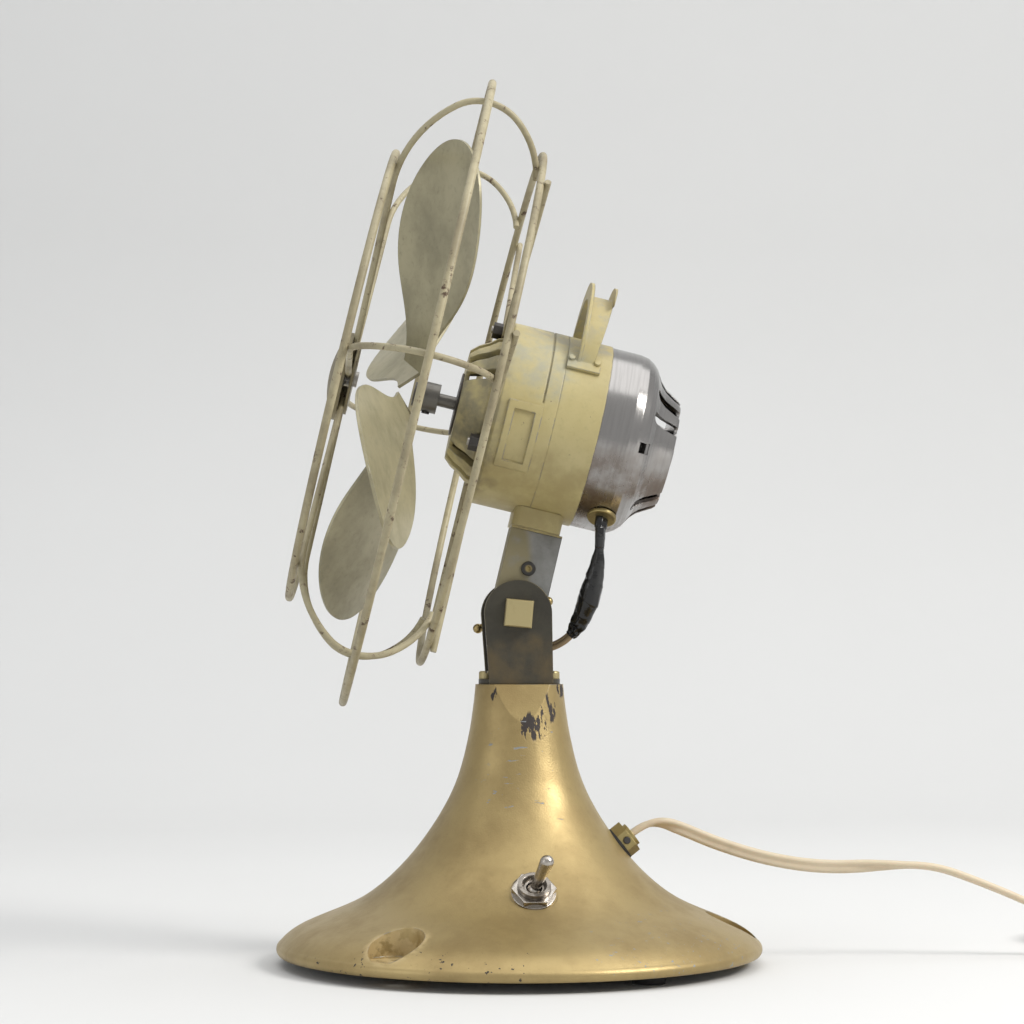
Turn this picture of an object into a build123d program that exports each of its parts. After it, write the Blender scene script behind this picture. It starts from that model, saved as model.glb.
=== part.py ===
from build123d import *
import math
import os

# A vintage mains desk fan: a flared metal base on three feet carries a fork, a tilting stem and an
# induction motor, whose shaft turns a four-blade fan inside a light wire cage.
# Millimetres. The origin is on the table at the base's axis, +Z is up, the fan faces -X.

os.makedirs("parts", exist_ok=True)

# ------------------------------------------------------------------ base sizes
rim_radius = 91.4            # widest radius of the flared base
rim_bottom = 4.0             # the rim's lower edge above the table
base_wall = 2.4
shoulder_radius = rim_radius - 11.1    # where the flare turns down into the rim
shoulder_height = 15.0
neck_radius = 16.7
neck_top = 104.6
neck_plug_bottom = 88.6      # the casting is solid above this height
# the flare between shoulder and neck, as shares of its height and of its width
flare_steps = [
    (0.874, 0.019), (0.736, 0.055), (0.593, 0.113), (0.428, 0.233), (0.231, 0.450), (0.096, 0.689)
]
neck_wire_radius = 5.0       # hole for the motor's lead
neck_flat = 12.97            # the flats on the two sides of the neck, from the axis
neck_flat_lean = 21.2        # degrees from upright

pad_radius = 13.0            # the three fixing pads under the rim
pad_circle = rim_radius - 11.4
pad_first = -37.0            # degrees from the near side
pad_floor = 9.0
pocket_radius = 10.0
fixing_hole_radius = 2.2
boss_radius = 4.5            # the three bosses that the cover and the feet screw into
boss_circle = rim_radius - 16.4
boss_first = 33.0
boss_hole_depth = 6.2

cover_bottom = 4.6
cover_thickness = 1.2
cover_radius = rim_radius - 4.2
cover_notch_gap = 0.6
foot_radius = 6.0
foot_screw_radius = 1.7
foot_screw_head_radius = 3.2
foot_screw_head_height = 2.1
foot_screw_head_bottom = 0.9
foot_recess_depth = 3.0
screw_gap = 0.05             # a screw in its threaded hole
slot_size = 0.8              # width and depth of a screw's slot
loose_gap = 0.3              # a screw in its through hole

# ------------------------------------------------------------------ fork and pivot sizes
tilt_back = 13.3             # the head leans back by this at rest, degrees
pivot_offset = -1.2
pivot_height = 131.2
fork_web = 2.0
fork_length = 15.5           # half length of the fork's foot along X
cheek_inner = 9.0
cheek_thickness = 2.0
cheek_foot_half = 12.0
cheek_radius = 12.8
fork_screw_place = 12.6      # along X, each side of the axis
fork_screw_head_radius = 2.8
fork_screw_head_height = 3.0
fork_screw_round = 0.9
fork_screw_radius = 1.6
fork_screw_depth = 9.0
bolt_radius = 3.9
bolt_square = 10.3
bolt_square_turn = -5.3
bolt_head_height = 4.5
pivot_gap = 0.05
washer_radius = 8.0
washer_thickness = 1.0
clamp_washer_gap = 0.2
clamp_radius = 6.5
clamp_length = 8.8
bar_radius = 1.3
bar_length = 29.3
bar_end_radius = 1.9
bar_tilt = -21.1
bar_wall = 0.6               # left between the clamp's bore and its cross hole
bolt_end_gap = 0.2

# ------------------------------------------------------------------ stem and saddle sizes
flange_outer = 7.8
flange_thickness = 1.5
stem_half = 9.85
stem_top = 31.6
stem_rivet_rise = 17.5
stem_rivet_radius = 2.75
stem_rivet_hole = 1.5
stem_rivet_height = 0.9
saddle_bottom = 32.3
saddle_front = -10.3
saddle_rear = 8.5
saddle_half = 13.0
stem_screw_place = 5.0
stem_screw_radius = 1.5
stem_screw_head_radius = 2.7
stem_screw_head_height = 1.8
stem_screw_length = 5.0

# ------------------------------------------------------------------ motor sizes (s runs rearward)
axis_rise = 72.9             # from the tilt pivot up to the motor's axis
motor_radius = 35.4
shell_wall = 1.6
bell_face = -40.3
bell_seat = -27.7            # the flat ring that the cage's legs are tied down on
seam = -5.0                  # between the front and the rear casting
rear_shell_end = 12.0
cap_end = 42.3
cap_radius = 35.0
cap_wall = 1.2
groove_place = -10.9
groove_depth = 0.5
window_width = 4.0
window_inner = 20.5
window_outer = 28.0
window_step = 22.0           # degrees between the windows of a group
window_depth = 16.0
front_window_first = 22.0    # degrees from the motor's top
rear_window_first = 26.0
frame_rise = 0.8             # the embossed rounded frame on the near side
frame_front = -23.0
frame_length = 13.0
frame_rib = 2.6
frame_span = (86, 128)       # degrees from the motor's top
frame_window = (91, 123)
groove_span = (-80, 84)
groove_width = 0.6
shaft_radius = 2.5
shaft_front = -57.0
shaft_rear = 20.0
bearing_radius = 7.0
bearing_length = 9.0
bearing_gap = 0.03
stator_front = -16.0
stator_rear = 2.0
stator_bore = 16.6
rotor_radius = 16.0
coil_height = 5.0
coil_edge = 6.0              # degrees left between neighbouring coils, each side
coil_inner = 18.5
coil_outer_radius = 29.0
stator_slot_circle = 22.0
stator_slot_radius = 4.0
rotor_ring = 2.0
plate_radius = 12.0
plate_thickness = 0.8
bridge_thickness = 2.0
bridge_hole_circle = 22.0
bridge_hole_radius = 7.0
collar_gap = 0.2
collar_length = 3.0

lead_place = 21.7            # where the lead leaves the cap
lead_angle = 150.0
grommet_radius = 5.5
grommet_neck = 4.4
grommet_gap = 0.3            # round the lead, in the grommet
grommet_rim = 1.4
grommet_depth = 2.8
tab_hole = 4.0
tab_hole_place = 28.0
tab_hole_circle = 32.5
tab_hole_first = 96.0

handle_width = 6.8           # at its feet
handle_top_width = 10.8
handle_thickness = 1.4
handle_plane = 1.3           # middle of the feet
handle_top_plane = 3.9
handle_foot_angle = 50.0
handle_foot_half = 7.0       # degrees, half the foot's spread round the motor
handle_foot_width = 12.6
handle_apex = 57.7
handle_gutter = 5.0
rivet_spread = 4.9
rivet_radius = 1.0
rivet_head_radius = 1.25
rivet_head_height = 0.9

# ------------------------------------------------------------------ cage and fan sizes
hoop_wire = 1.2              # wire radii
front_ring_wire = 1.5
middle_ring_wire = 1.5
rear_ring_wire = 1.4
weld_bite = 0.12             # how far two welded wires sink into each other
hoop_face = -83.3            # the flat part of the hoops, in front of the fan
hoop_belly = -56.3           # the plane of the hoops' widest place
blade_radius = 101.6
cage_gap = 16.4              # from the blades' tips out to the hoops
hoop_reach = blade_radius + cage_gap   # their radius on that plane
hoop_front_rise = 38.8
hoop_rear_rise = 30.0
hoop_rear_depth = 24.2
hoop_split = 50.0            # degrees of each quarter taken by its long arc
hoop_start_radius = 5.0
hoop_count = 6
front_ring_radius = hoop_reach - 31.3
rear_ring_radius = hoop_reach - 18.9
hoop_end_radius = rear_ring_radius - 5.1
leg_angle = 39.5             # half the opening of each V leg at the rear ring
leg_stud_circle = 31.2
stud_radius = 1.5
stud_wire_gap = 0.15
stud_front = -34.4
stud_head_radius = 2.5
stud_head_height = 1.8
cage_nut_height = 3.6
cage_nut_flats = 5.5
badge_radius = 17.0
badge_dome = 4.0
badge_rim = 2.2
badge_bolt_radius = 1.5
badge_plate_thickness = 1.2

hub_radius = 5.8
hub_front = -55.3
hub_rear = -47.9
hub_step_radius = 4.6        # the step that the spider sits on
spider_gap = 0.02
hub_step_proud = 0.8
blade_count = 4
blade_first = 33.0
blade_place = -60.5
blade_pitch = 34.0
blade_twist = 0.16           # degrees of pitch lost per millimetre of radius
blade_thickness = 1.1
blade_camber = 4.0
blade_root_radius = 10.0
spider_thickness = 1.6
spider_radius = 13.0
hub_screw_radius = 1.5
hub_screw_slot = 0.6
blade_stock = 0.413 * blade_radius     # half width of the sheet that a blade is cut from
# a blade's outline, as shares of its radius: along the chord (minus is the trailing side), outward
blade_outline = [
    (0.054, 0.108), (0.069, 0.217), (0.148, 0.374), (0.226, 0.551), (0.236, 0.748), (0.157, 0.925), (0.0, 1.0),
    (-0.148, 0.960), (-0.266, 0.817), (-0.305, 0.630), (-0.246, 0.433), (-0.108, 0.256), (-0.054, 0.108),
]

# ------------------------------------------------------------------ switch, gland and cord sizes
switch_turn = 1.3            # degrees from the near side
switch_height = 30.6
seat_sink = 0.5              # spot faces are cut this deep
spot_gap = 0.6               # and this much wider than the nut
bushing_radius = 5.9
bushing_out = 5.0
bushing_mouth_radius = 4.5
bushing_mouth_depth = 1.8
bushing_mouth_taper = 28
switch_wall = 2.6            # casting left between the spot faces
switch_washer = 0.8
switch_nut = 2.2
switch_nut_flats = 14.0
back_nut = 2.0
switch_body_length = 28.0
switch_body_width = 15.0
switch_body_depth = 13.0
terminal_length = 5.0
terminal_width = 4.8
terminal_thickness = 0.8
terminal_spacing = 9.0
lever_ball = 2.8
lever_ball_gap = 0.1
lever_pivot = 1.5
lever_length = 17.5
lever_root = 1.7
lever_tip = 2.5
lever_lean = 14.0

gland_height = 44.0
gland_gasket = 1.2
gland_collar = 4.3
gland_flats = 11.4
gland_thread = 4.6
gland_bore = 2.9
gland_out = 6.8
gland_in = 8.0
gland_wall = 2.4
gland_inner_flats = 12.0
gland_inner_nut = 3.0
gland_screw_radius = 1.3
gland_screw_head = 0.8
gasket_radius = 6.6

cord_radius = 2.0            # a round tube with the section of the flat twin cord
cord_pitch = 5.1             # between the coil's turns
cord_floor = 2.6             # centre of the cord on the table
coil_turns = 8               # half turns in each layer
coil_outer = 39.2
coil_climb = 5.6
coil_centre_x = 252.0
plug_length = 27.0
plug_width = 21.0
plug_thickness = 13.0
plug_neck_width = 11.6
plug_neck_thickness = 9.1
plug_shoulder = 12.2         # from the plug's neck to its full width
plug_round = 3.0
plug_collar_radius = 3.6
plug_collar_length = 8.0
pin_length = 16.0
pin_width = 6.35
pin_thickness = 1.5
pin_spacing = 12.7
pin_root = 3.0
cord_inside = 1.0            # the modelled cord starts this far inside the gland
cord_straight = 12.0
lead_radius = 1.3
lead_straight = 5.0
# the tape round the lead's splice: height above the table, radius
splice_steps = [(163.0, 3.1), (155.0, 2.3), (149.5, 3.4), (143.8, 4.4), (136.0, 5.1), (130.6, 4.2), (125.8, 3.2)]

# ------------------------------------------------------------------ frames worked out from the sizes
tilt = math.radians(tilt_back)
head_up = Vector(math.sin(tilt), 0, math.cos(tilt))
head_rear = Vector(math.cos(tilt), 0, -math.sin(tilt))
near = Vector(0, -1, 0)
pivot = Vector(pivot_offset, 0, pivot_height)
motor_centre = pivot + head_up * axis_rise
motor = Plane(origin=motor_centre, x_dir=head_up, z_dir=head_rear)
motor_axis = Axis(motor_centre, head_rear)
head_section = Plane(origin=motor_centre, x_dir=head_up, z_dir=(0, 1, 0))
head_side = Plane(origin=pivot, x_dir=head_rear, z_dir=near)
fork_side = Plane(origin=pivot, x_dir=(1, 0, 0), z_dir=near)


def around_motor(angle):
    """Unit vector from the motor's axis, by degrees from its top towards the near side."""
    turn = math.radians(angle)
    return head_up * math.cos(turn) + near * math.sin(turn)


lead_out = around_motor(lead_angle)
lead_exit = Plane(
    origin=motor_centre + head_rear * lead_place + lead_out * cap_radius, x_dir=head_rear, z_dir=lead_out
)
hub_screw_plane = Plane(
    origin=motor_centre + head_rear * (hub_front + hub_rear) / 2 - head_up * hub_radius,
    x_dir=head_rear,
    z_dir=-head_up,
)
rivet_planes = [
    Plane(
        origin=motor_centre
        + head_rear * (handle_plane + place * rivet_spread)
        + around_motor(side * handle_foot_angle) * (motor_radius + handle_thickness),
        x_dir=head_rear,
        z_dir=around_motor(side * handle_foot_angle),
    )
    for side in (-1, 1)
    for place in (-1, 1)
]


def across_corners(flats):
    """Radius of the corners of a hexagon, from its width across flats."""
    return flats / math.sqrt(3)


def flare_points(inset):
    """The base's outline from the neck down to the rim, moved in and down by an inset."""
    drop = neck_top - shoulder_height
    spread = shoulder_radius - neck_radius
    points = [(neck_radius, neck_top)]
    points += [(neck_radius + spread * wide, shoulder_height + drop * high) for high, wide in flare_steps]
    points += [(shoulder_radius, shoulder_height)]
    points += [(rim_radius - 4.6, rim_bottom + 7.4), (rim_radius - 1.2, rim_bottom + 4.2)]
    return [(radius - inset, height - inset) for radius, height in points]


def near_angle(angle):
    """Polar angle in plan of something placed by degrees from the near side towards +X."""
    return angle - 90


# ------------------------------------------------------------------ base casting
with BuildPart() as base_form:
    with BuildSketch(Plane.XZ):
        with BuildLine():
            flare = Spline(*flare_points(0))
            rim = ThreePointArc(
                flare @ 1, (rim_radius, rim_bottom + 2.2), (rim_radius - 0.8, rim_bottom)
            )
            Polyline(rim @ 1, (0, rim_bottom), (0, neck_top), flare @ 0)
        make_face()
    revolve(axis=Axis.Z)


def flare_seat(height, turn):
    """Plane on the flare's surface, facing straight out, with its X level."""
    low = 0.0
    high = 1.0
    for _ in range(40):
        middle = (low + high) / 2
        if (flare @ middle).Y > height:
            low = middle
        else:
            high = middle
    place = flare @ middle
    along = flare % middle
    angle = math.radians(near_angle(turn))
    outward = Vector(math.cos(angle), math.sin(angle), 0)
    normal = outward * -along.Y + Vector(0, 0, 1) * along.X
    level = Vector(-math.sin(angle), math.cos(angle), 0)
    point = outward * place.X + Vector(0, 0, place.Y) - normal.normalized() * seat_sink
    return Plane(origin=point, x_dir=level, z_dir=normal)


switch_seat = flare_seat(switch_height, switch_turn)
gland_seat = flare_seat(gland_height, 90)

with BuildPart() as core_space:
    with BuildSketch(Plane.XZ):
        with BuildLine():
            inner_flare = Spline(*flare_points(base_wall))
            inner_end = inner_flare @ 1
            Polyline(inner_end, (inner_end.X, 0), (0, 0), (0, neck_top - base_wall), inner_flare @ 0)
        make_face()
    revolve(axis=Axis.Z)
    with BuildSketch(Plane.XY.offset(neck_plug_bottom)):
        Circle(2 * neck_radius)
    extrude(amount=neck_top - neck_plug_bottom, mode=Mode.SUBTRACT)
    with BuildSketch(Plane.XY):
        with PolarLocations(pad_circle, 3, start_angle=near_angle(pad_first)):
            Circle(pad_radius)
    extrude(amount=neck_top, mode=Mode.SUBTRACT)
    with BuildSketch(Plane.XY.offset(cover_bottom + cover_thickness)):
        with PolarLocations(boss_circle, 3, start_angle=near_angle(boss_first)):
            Circle(boss_radius)
    extrude(amount=neck_top, mode=Mode.SUBTRACT)

with BuildPart() as base_shell:
    add(base_form.part)
    add(core_space.part, mode=Mode.SUBTRACT)
    # the space under the cover plate
    with BuildSketch(Plane.XY.offset(rim_bottom)):
        Circle(cover_radius + 0.2)
        with PolarLocations(pad_circle, 3, start_angle=near_angle(pad_first)):
            Circle(pad_radius, mode=Mode.SUBTRACT)
    extrude(amount=cover_bottom + cover_thickness - rim_bottom, mode=Mode.SUBTRACT)
    # fixing pockets and their holes
    with BuildSketch(Plane.XY.offset(pad_floor)):
        with PolarLocations(pad_circle, 3, start_angle=near_angle(pad_first)):
            Circle(pocket_radius)
    extrude(amount=neck_top, mode=Mode.SUBTRACT)
    with BuildSketch(Plane.XY):
        with PolarLocations(pad_circle, 3, start_angle=near_angle(pad_first)):
            Circle(fixing_hole_radius)
    extrude(amount=neck_top, mode=Mode.SUBTRACT)
    # threaded holes of the feet's screws
    with BuildSketch(Plane.XY.offset(cover_bottom)):
        with PolarLocations(boss_circle, 3, start_angle=near_angle(boss_first)):
            Circle(foot_screw_radius + screw_gap)
    extrude(amount=cover_thickness + boss_hole_depth, mode=Mode.SUBTRACT)
    # flats on the neck
    for side in (-1, 1):
        lean = math.radians(neck_flat_lean)
        flat_normal = (0, side * math.cos(lean), math.sin(lean))
        with BuildSketch(Plane(origin=(0, side * neck_flat, neck_top), x_dir=(1, 0, 0), z_dir=flat_normal)):
            Rectangle(3 * neck_radius, 3 * neck_radius)
        extrude(amount=neck_radius, mode=Mode.SUBTRACT)
    # holes in the top of the neck: the lead, and the fork's two screws
    with BuildSketch(Plane.XY.offset(neck_plug_bottom)):
        Circle(neck_wire_radius)
    extrude(amount=neck_top - neck_plug_bottom, mode=Mode.SUBTRACT)
    with BuildSketch(Plane.XY.offset(neck_top)):
        with GridLocations(2 * fork_screw_place, 0, 2, 1):
            Circle(fork_screw_radius + screw_gap)
    extrude(amount=-fork_screw_depth, mode=Mode.SUBTRACT)
    # switch: hole, outer and inner spot faces
    with BuildSketch(switch_seat):
        Circle(bushing_radius + loose_gap)
    extrude(amount=-2 * base_wall - switch_wall, mode=Mode.SUBTRACT)
    with BuildSketch(switch_seat):
        Circle(across_corners(switch_nut_flats) + spot_gap)
    extrude(amount=4 * seat_sink, mode=Mode.SUBTRACT)
    with BuildSketch(switch_seat.offset(-switch_wall)):
        Circle(across_corners(switch_nut_flats) + spot_gap)
    extrude(amount=-2 * base_wall, mode=Mode.SUBTRACT)
    # gland: hole, outer and inner spot faces
    with BuildSketch(gland_seat):
        Circle(gland_thread + loose_gap)
    extrude(amount=-gland_in, mode=Mode.SUBTRACT)
    with BuildSketch(gland_seat):
        Circle(gasket_radius + loose_gap)
    extrude(amount=4 * seat_sink, mode=Mode.SUBTRACT)
    with BuildSketch(gland_seat.offset(-gland_wall)):
        Circle(across_corners(gland_inner_flats) + spot_gap)
    extrude(amount=-2 * base_wall, mode=Mode.SUBTRACT)
base_shell.part.label = "base_shell"
export_step(base_shell.part, "parts/base_shell.step")

with BuildPart() as base_cover_plate:
    with BuildSketch(Plane.XY.offset(cover_bottom)):
        Circle(cover_radius)
        with PolarLocations(pad_circle, 3, start_angle=near_angle(pad_first)):
            Circle(pad_radius + cover_notch_gap, mode=Mode.SUBTRACT)
        with PolarLocations(boss_circle, 3, start_angle=near_angle(boss_first)):
            Circle(foot_screw_radius + loose_gap, mode=Mode.SUBTRACT)
    extrude(amount=cover_thickness)
base_cover_plate.part.label = "base_cover_plate"
export_step(base_cover_plate.part, "parts/base_cover_plate.step")

with BuildPart() as base_feet:
    with BuildSketch(Plane.XY):
        with PolarLocations(boss_circle, 3, start_angle=near_angle(boss_first)):
            Circle(foot_radius)
            Circle(foot_screw_radius + loose_gap, mode=Mode.SUBTRACT)
    extrude(amount=cover_bottom)
    with BuildSketch(Plane.XY):
        with PolarLocations(boss_circle, 3, start_angle=near_angle(boss_first)):
            Circle(foot_screw_head_radius + loose_gap)
    extrude(amount=foot_recess_depth, mode=Mode.SUBTRACT)
base_feet.part.label = "base_feet"
export_step(base_feet.part, "parts/base_feet.step")

with BuildPart() as base_cover_screws:
    with BuildSketch(Plane.XY.offset(foot_screw_head_bottom)):
        with PolarLocations(boss_circle, 3, start_angle=near_angle(boss_first)):
            Circle(foot_screw_head_radius)
    extrude(amount=foot_screw_head_height)
    with BuildSketch(Plane.XY.offset(foot_screw_head_bottom)):
        with PolarLocations(boss_circle, 3, start_angle=near_angle(boss_first)):
            Circle(foot_screw_radius)
    extrude(amount=cover_bottom + cover_thickness + boss_hole_depth - 1 - foot_screw_head_bottom)
    with BuildSketch(Plane.XY.offset(foot_screw_head_bottom)):
        with PolarLocations(boss_circle, 3, start_angle=near_angle(boss_first)):
            Rectangle(2 * foot_screw_head_radius, slot_size)
    extrude(amount=slot_size, mode=Mode.SUBTRACT)
base_cover_screws.part.label = "base_cover_screws"
export_step(base_cover_screws.part, "parts/base_cover_screws.step")

# ------------------------------------------------------------------ fork, its screws and the pivot
web_top = neck_top + fork_web
with BuildPart() as neck_fork:
    with BuildSketch(Plane.XY.offset(neck_top)):
        SlotOverall(2 * fork_length, 2 * (cheek_inner + cheek_thickness))
        Rectangle(2 * cheek_foot_half, 2 * (cheek_inner + cheek_thickness))
        Circle(neck_wire_radius, mode=Mode.SUBTRACT)
        with GridLocations(2 * fork_screw_place, 0, 2, 1):
            Circle(fork_screw_radius + loose_gap, mode=Mode.SUBTRACT)
    extrude(amount=fork_web)
    for side in (-1, 1):
        with BuildSketch(fork_side.offset(side * cheek_inner)):
            with BuildLine():
                drop = neck_top - pivot_height
                top = ThreePointArc((-cheek_radius, 0), (0, cheek_radius), (cheek_radius, 0))
                foot_right = (cheek_foot_half - pivot_offset, drop)
                foot_left = (-cheek_foot_half - pivot_offset, drop)
                Polyline(top @ 1, foot_right, foot_left, top @ 0)
            make_face()
            Circle(bolt_radius + pivot_gap, mode=Mode.SUBTRACT)
        extrude(amount=side * cheek_thickness)
neck_fork.part.label = "neck_fork"
export_step(neck_fork.part, "parts/neck_fork.step")

with BuildPart() as fork_screws:
    with BuildSketch(Plane.XY.offset(web_top)):
        with GridLocations(2 * fork_screw_place, 0, 2, 1):
            Circle(fork_screw_head_radius)
    extrude(amount=fork_screw_head_height)
    for head in fork_screws.faces().sort_by(Axis.Z)[-2:]:
        fillet(head.edges(), fork_screw_round)
    with BuildSketch(Plane.XY.offset(web_top + fork_screw_head_height)):
        with GridLocations(2 * fork_screw_place, 0, 2, 1):
            Rectangle(slot_size, 2 * fork_screw_head_radius)
    extrude(amount=-slot_size, mode=Mode.SUBTRACT)
    with BuildSketch(Plane.XY.offset(web_top)):
        with GridLocations(2 * fork_screw_place, 0, 2, 1):
            Circle(fork_screw_radius)
    extrude(amount=-fork_web - fork_screw_depth + 0.5)
fork_screws.part.label = "fork_screws"
export_step(fork_screws.part, "parts/fork_screws.step")

cheek_outer = cheek_inner + cheek_thickness
clamp_start = cheek_outer + clamp_washer_gap
bar_place = clamp_start + clamp_length / 2
bore_end = bar_place - bar_radius - bar_wall
with BuildPart() as pivot_bolt:
    with BuildSketch(fork_side.offset(cheek_outer)):
        Rectangle(bolt_square, bolt_square, rotation=bolt_square_turn)
    extrude(amount=bolt_head_height)
    chamfer(pivot_bolt.faces().sort_by(Axis.Y)[0].edges(), 0.4)
    # the thread ends short of the clamp's bore, which ends short of its cross bar
    with BuildSketch(fork_side.offset(cheek_outer)):
        Circle(bolt_radius)
    extrude(amount=bolt_end_gap - cheek_outer - bore_end)
pivot_bolt.part.label = "pivot_bolt"
export_step(pivot_bolt.part, "parts/pivot_bolt.step")

with BuildPart() as pivot_washers:
    for side in (-1, 1):
        with BuildSketch(fork_side.offset(side * (cheek_inner - washer_thickness))):
            Circle(washer_radius)
            Circle(bolt_radius + pivot_gap, mode=Mode.SUBTRACT)
        extrude(amount=side * washer_thickness)
pivot_washers.part.label = "pivot_washers"
export_step(pivot_washers.part, "parts/pivot_washers.step")

bar_plane = Plane(
    origin=pivot - near * bar_place,
    x_dir=near,
    z_dir=Vector(math.cos(math.radians(bar_tilt)), 0, -math.sin(math.radians(bar_tilt))),
)
with BuildPart() as clamp_nut:
    with BuildSketch(fork_side.offset(-clamp_start)):
        Circle(clamp_radius)
    extrude(amount=-clamp_length)
    chamfer(clamp_nut.faces().sort_by(Axis.Y)[-1].edges(), 0.8)
    with BuildSketch(fork_side.offset(-clamp_start)):
        Circle(bolt_radius + pivot_gap)
    extrude(amount=clamp_start - bore_end, mode=Mode.SUBTRACT)
    with BuildSketch(bar_plane):
        Circle(bar_radius)
    extrude(amount=bar_length, both=True, mode=Mode.SUBTRACT)
clamp_nut.part.label = "clamp_nut"
export_step(clamp_nut.part, "parts/clamp_nut.step")

with BuildPart() as tommy_bar:
    with BuildSketch(bar_plane):
        Circle(bar_radius)
    extrude(amount=bar_length / 2, both=True)
    for side in (-1, 1):
        with Locations(bar_plane.offset(side * bar_length / 2).location):
            Sphere(bar_end_radius)
tommy_bar.part.label = "tommy_bar"
export_step(tommy_bar.part, "parts/tommy_bar.step")

# ------------------------------------------------------------------ tilting stem and saddle
with BuildPart() as stem:
    with BuildSketch(head_side.offset(flange_outer)):
        with BuildLine():
            bottom = ThreePointArc((-stem_half, 0), (0, -stem_half), (stem_half, 0))
            Polyline(bottom @ 1, (stem_half, stem_top), (-stem_half, stem_top), bottom @ 0)
        make_face()
    extrude(amount=-2 * flange_outer)
    inside = flange_outer - flange_thickness
    with BuildSketch(head_side.offset(inside)):
        with Locations((flange_thickness, (stem_top - flange_thickness - stem_half) / 2)):
            Rectangle(2 * stem_half, stem_top - flange_thickness + stem_half)
    extrude(amount=-2 * inside, mode=Mode.SUBTRACT)
    with BuildSketch(head_side.offset(flange_outer)):
        Circle(bolt_radius + pivot_gap)
    extrude(amount=-2 * flange_outer, mode=Mode.SUBTRACT)
    with BuildSketch(head_side.offset(flange_outer)):
        with Locations((0, stem_rivet_rise)):
            Circle(stem_rivet_hole + screw_gap)
    extrude(amount=-flange_thickness, mode=Mode.SUBTRACT)
    top_face = Plane(origin=pivot + head_up * stem_top, x_dir=head_rear, z_dir=head_up)
    with BuildSketch(top_face):
        with GridLocations(2 * stem_screw_place, 0, 2, 1):
            Circle(stem_screw_radius + screw_gap)
    extrude(amount=-flange_thickness, mode=Mode.SUBTRACT)
stem.part.label = "stem"
export_step(stem.part, "parts/stem.step")

with BuildPart() as stem_rivet:
    with BuildSketch(head_side.offset(flange_outer)):
        with Locations((0, stem_rivet_rise)):
            Circle(stem_rivet_radius)
    extrude(amount=stem_rivet_height)
    fillet(stem_rivet.faces().sort_by(Axis.Y)[0].edges(), 0.5)
    with BuildSketch(head_side.offset(flange_outer)):
        with Locations((0, stem_rivet_rise)):
            Circle(stem_rivet_hole)
    extrude(amount=-flange_thickness - 0.8)
    with BuildSketch(head_side.offset(flange_outer + stem_rivet_height)):
        with Locations((0, stem_rivet_rise)):
            Circle(stem_rivet_hole - 0.6)
    extrude(amount=-stem_rivet_height - flange_thickness, mode=Mode.SUBTRACT)
stem_rivet.part.label = "stem_rivet"
export_step(stem_rivet.part, "parts/stem_rivet.step")

with BuildPart() as saddle:
    saddle_mid = (saddle_front + saddle_rear) / 2
    with BuildSketch(top_face.offset(saddle_bottom - stem_top)):
        with Locations((saddle_mid, 0)):
            RectangleRounded(saddle_rear - saddle_front, 2 * saddle_half, 3)
    extrude(amount=axis_rise - saddle_bottom)
    # the block that sits on the stem's top plate
    with BuildSketch(top_face):
        Rectangle(2 * stem_half, 2 * flange_outer)
    extrude(amount=saddle_bottom - stem_top)
    with BuildSketch(motor.offset(saddle_front - 1)):
        Circle(motor_radius)
    extrude(amount=saddle_rear - saddle_front + 2, mode=Mode.SUBTRACT)
    with BuildSketch(top_face):
        with GridLocations(2 * stem_screw_place, 0, 2, 1):
            Circle(stem_screw_radius + screw_gap)
    extrude(amount=stem_screw_length - flange_thickness + 0.5, mode=Mode.SUBTRACT)
saddle.part.label = "saddle"
export_step(saddle.part, "parts/saddle.step")

with BuildPart() as stem_screws:
    with BuildSketch(top_face.offset(-flange_thickness)):
        with GridLocations(2 * stem_screw_place, 0, 2, 1):
            Circle(stem_screw_head_radius)
    extrude(amount=-stem_screw_head_height)
    with BuildSketch(top_face.offset(-flange_thickness)):
        with GridLocations(2 * stem_screw_place, 0, 2, 1):
            Circle(stem_screw_radius)
    extrude(amount=stem_screw_length)
stem_screws.part.label = "stem_screws"
export_step(stem_screws.part, "parts/stem_screws.step")

# ------------------------------------------------------------------ motor castings
bell_outline = [
    (bearing_radius + 1.6, bell_face),
    (21.3, bell_face),
    (23.9, bell_face + 2.8),
    (26.0, bell_face + 6.6),
    (28.3, bell_face + 9.5),
    (28.9, bell_seat),
    (34.0, bell_seat),
    (motor_radius, bell_seat + 1.6),
]


def window_slots(plane, first):
    """Three groups of three radial slots for an end of the motor."""
    middle = (window_inner + window_outer) / 2
    with BuildSketch(plane) as slots:
        for group in range(3):
            for place in range(3):
                with PolarLocations(middle, 1, start_angle=first + 120 * group + window_step * place):
                    SlotOverall(window_outer - window_inner + window_width, window_width)
    return slots.sketch


def ring_sector(plane, inner, outer, start, end):
    """A piece of a ring, from one angle to another."""
    with BuildSketch(plane) as sector:
        with BuildLine():
            outer_arc = CenterArc((0, 0), outer, start, end - start)
            inner_arc = CenterArc((0, 0), inner, start, end - start)
            Line(outer_arc @ 0, inner_arc @ 0)
            Line(outer_arc @ 1, inner_arc @ 1)
        make_face()
    return sector.sketch


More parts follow.
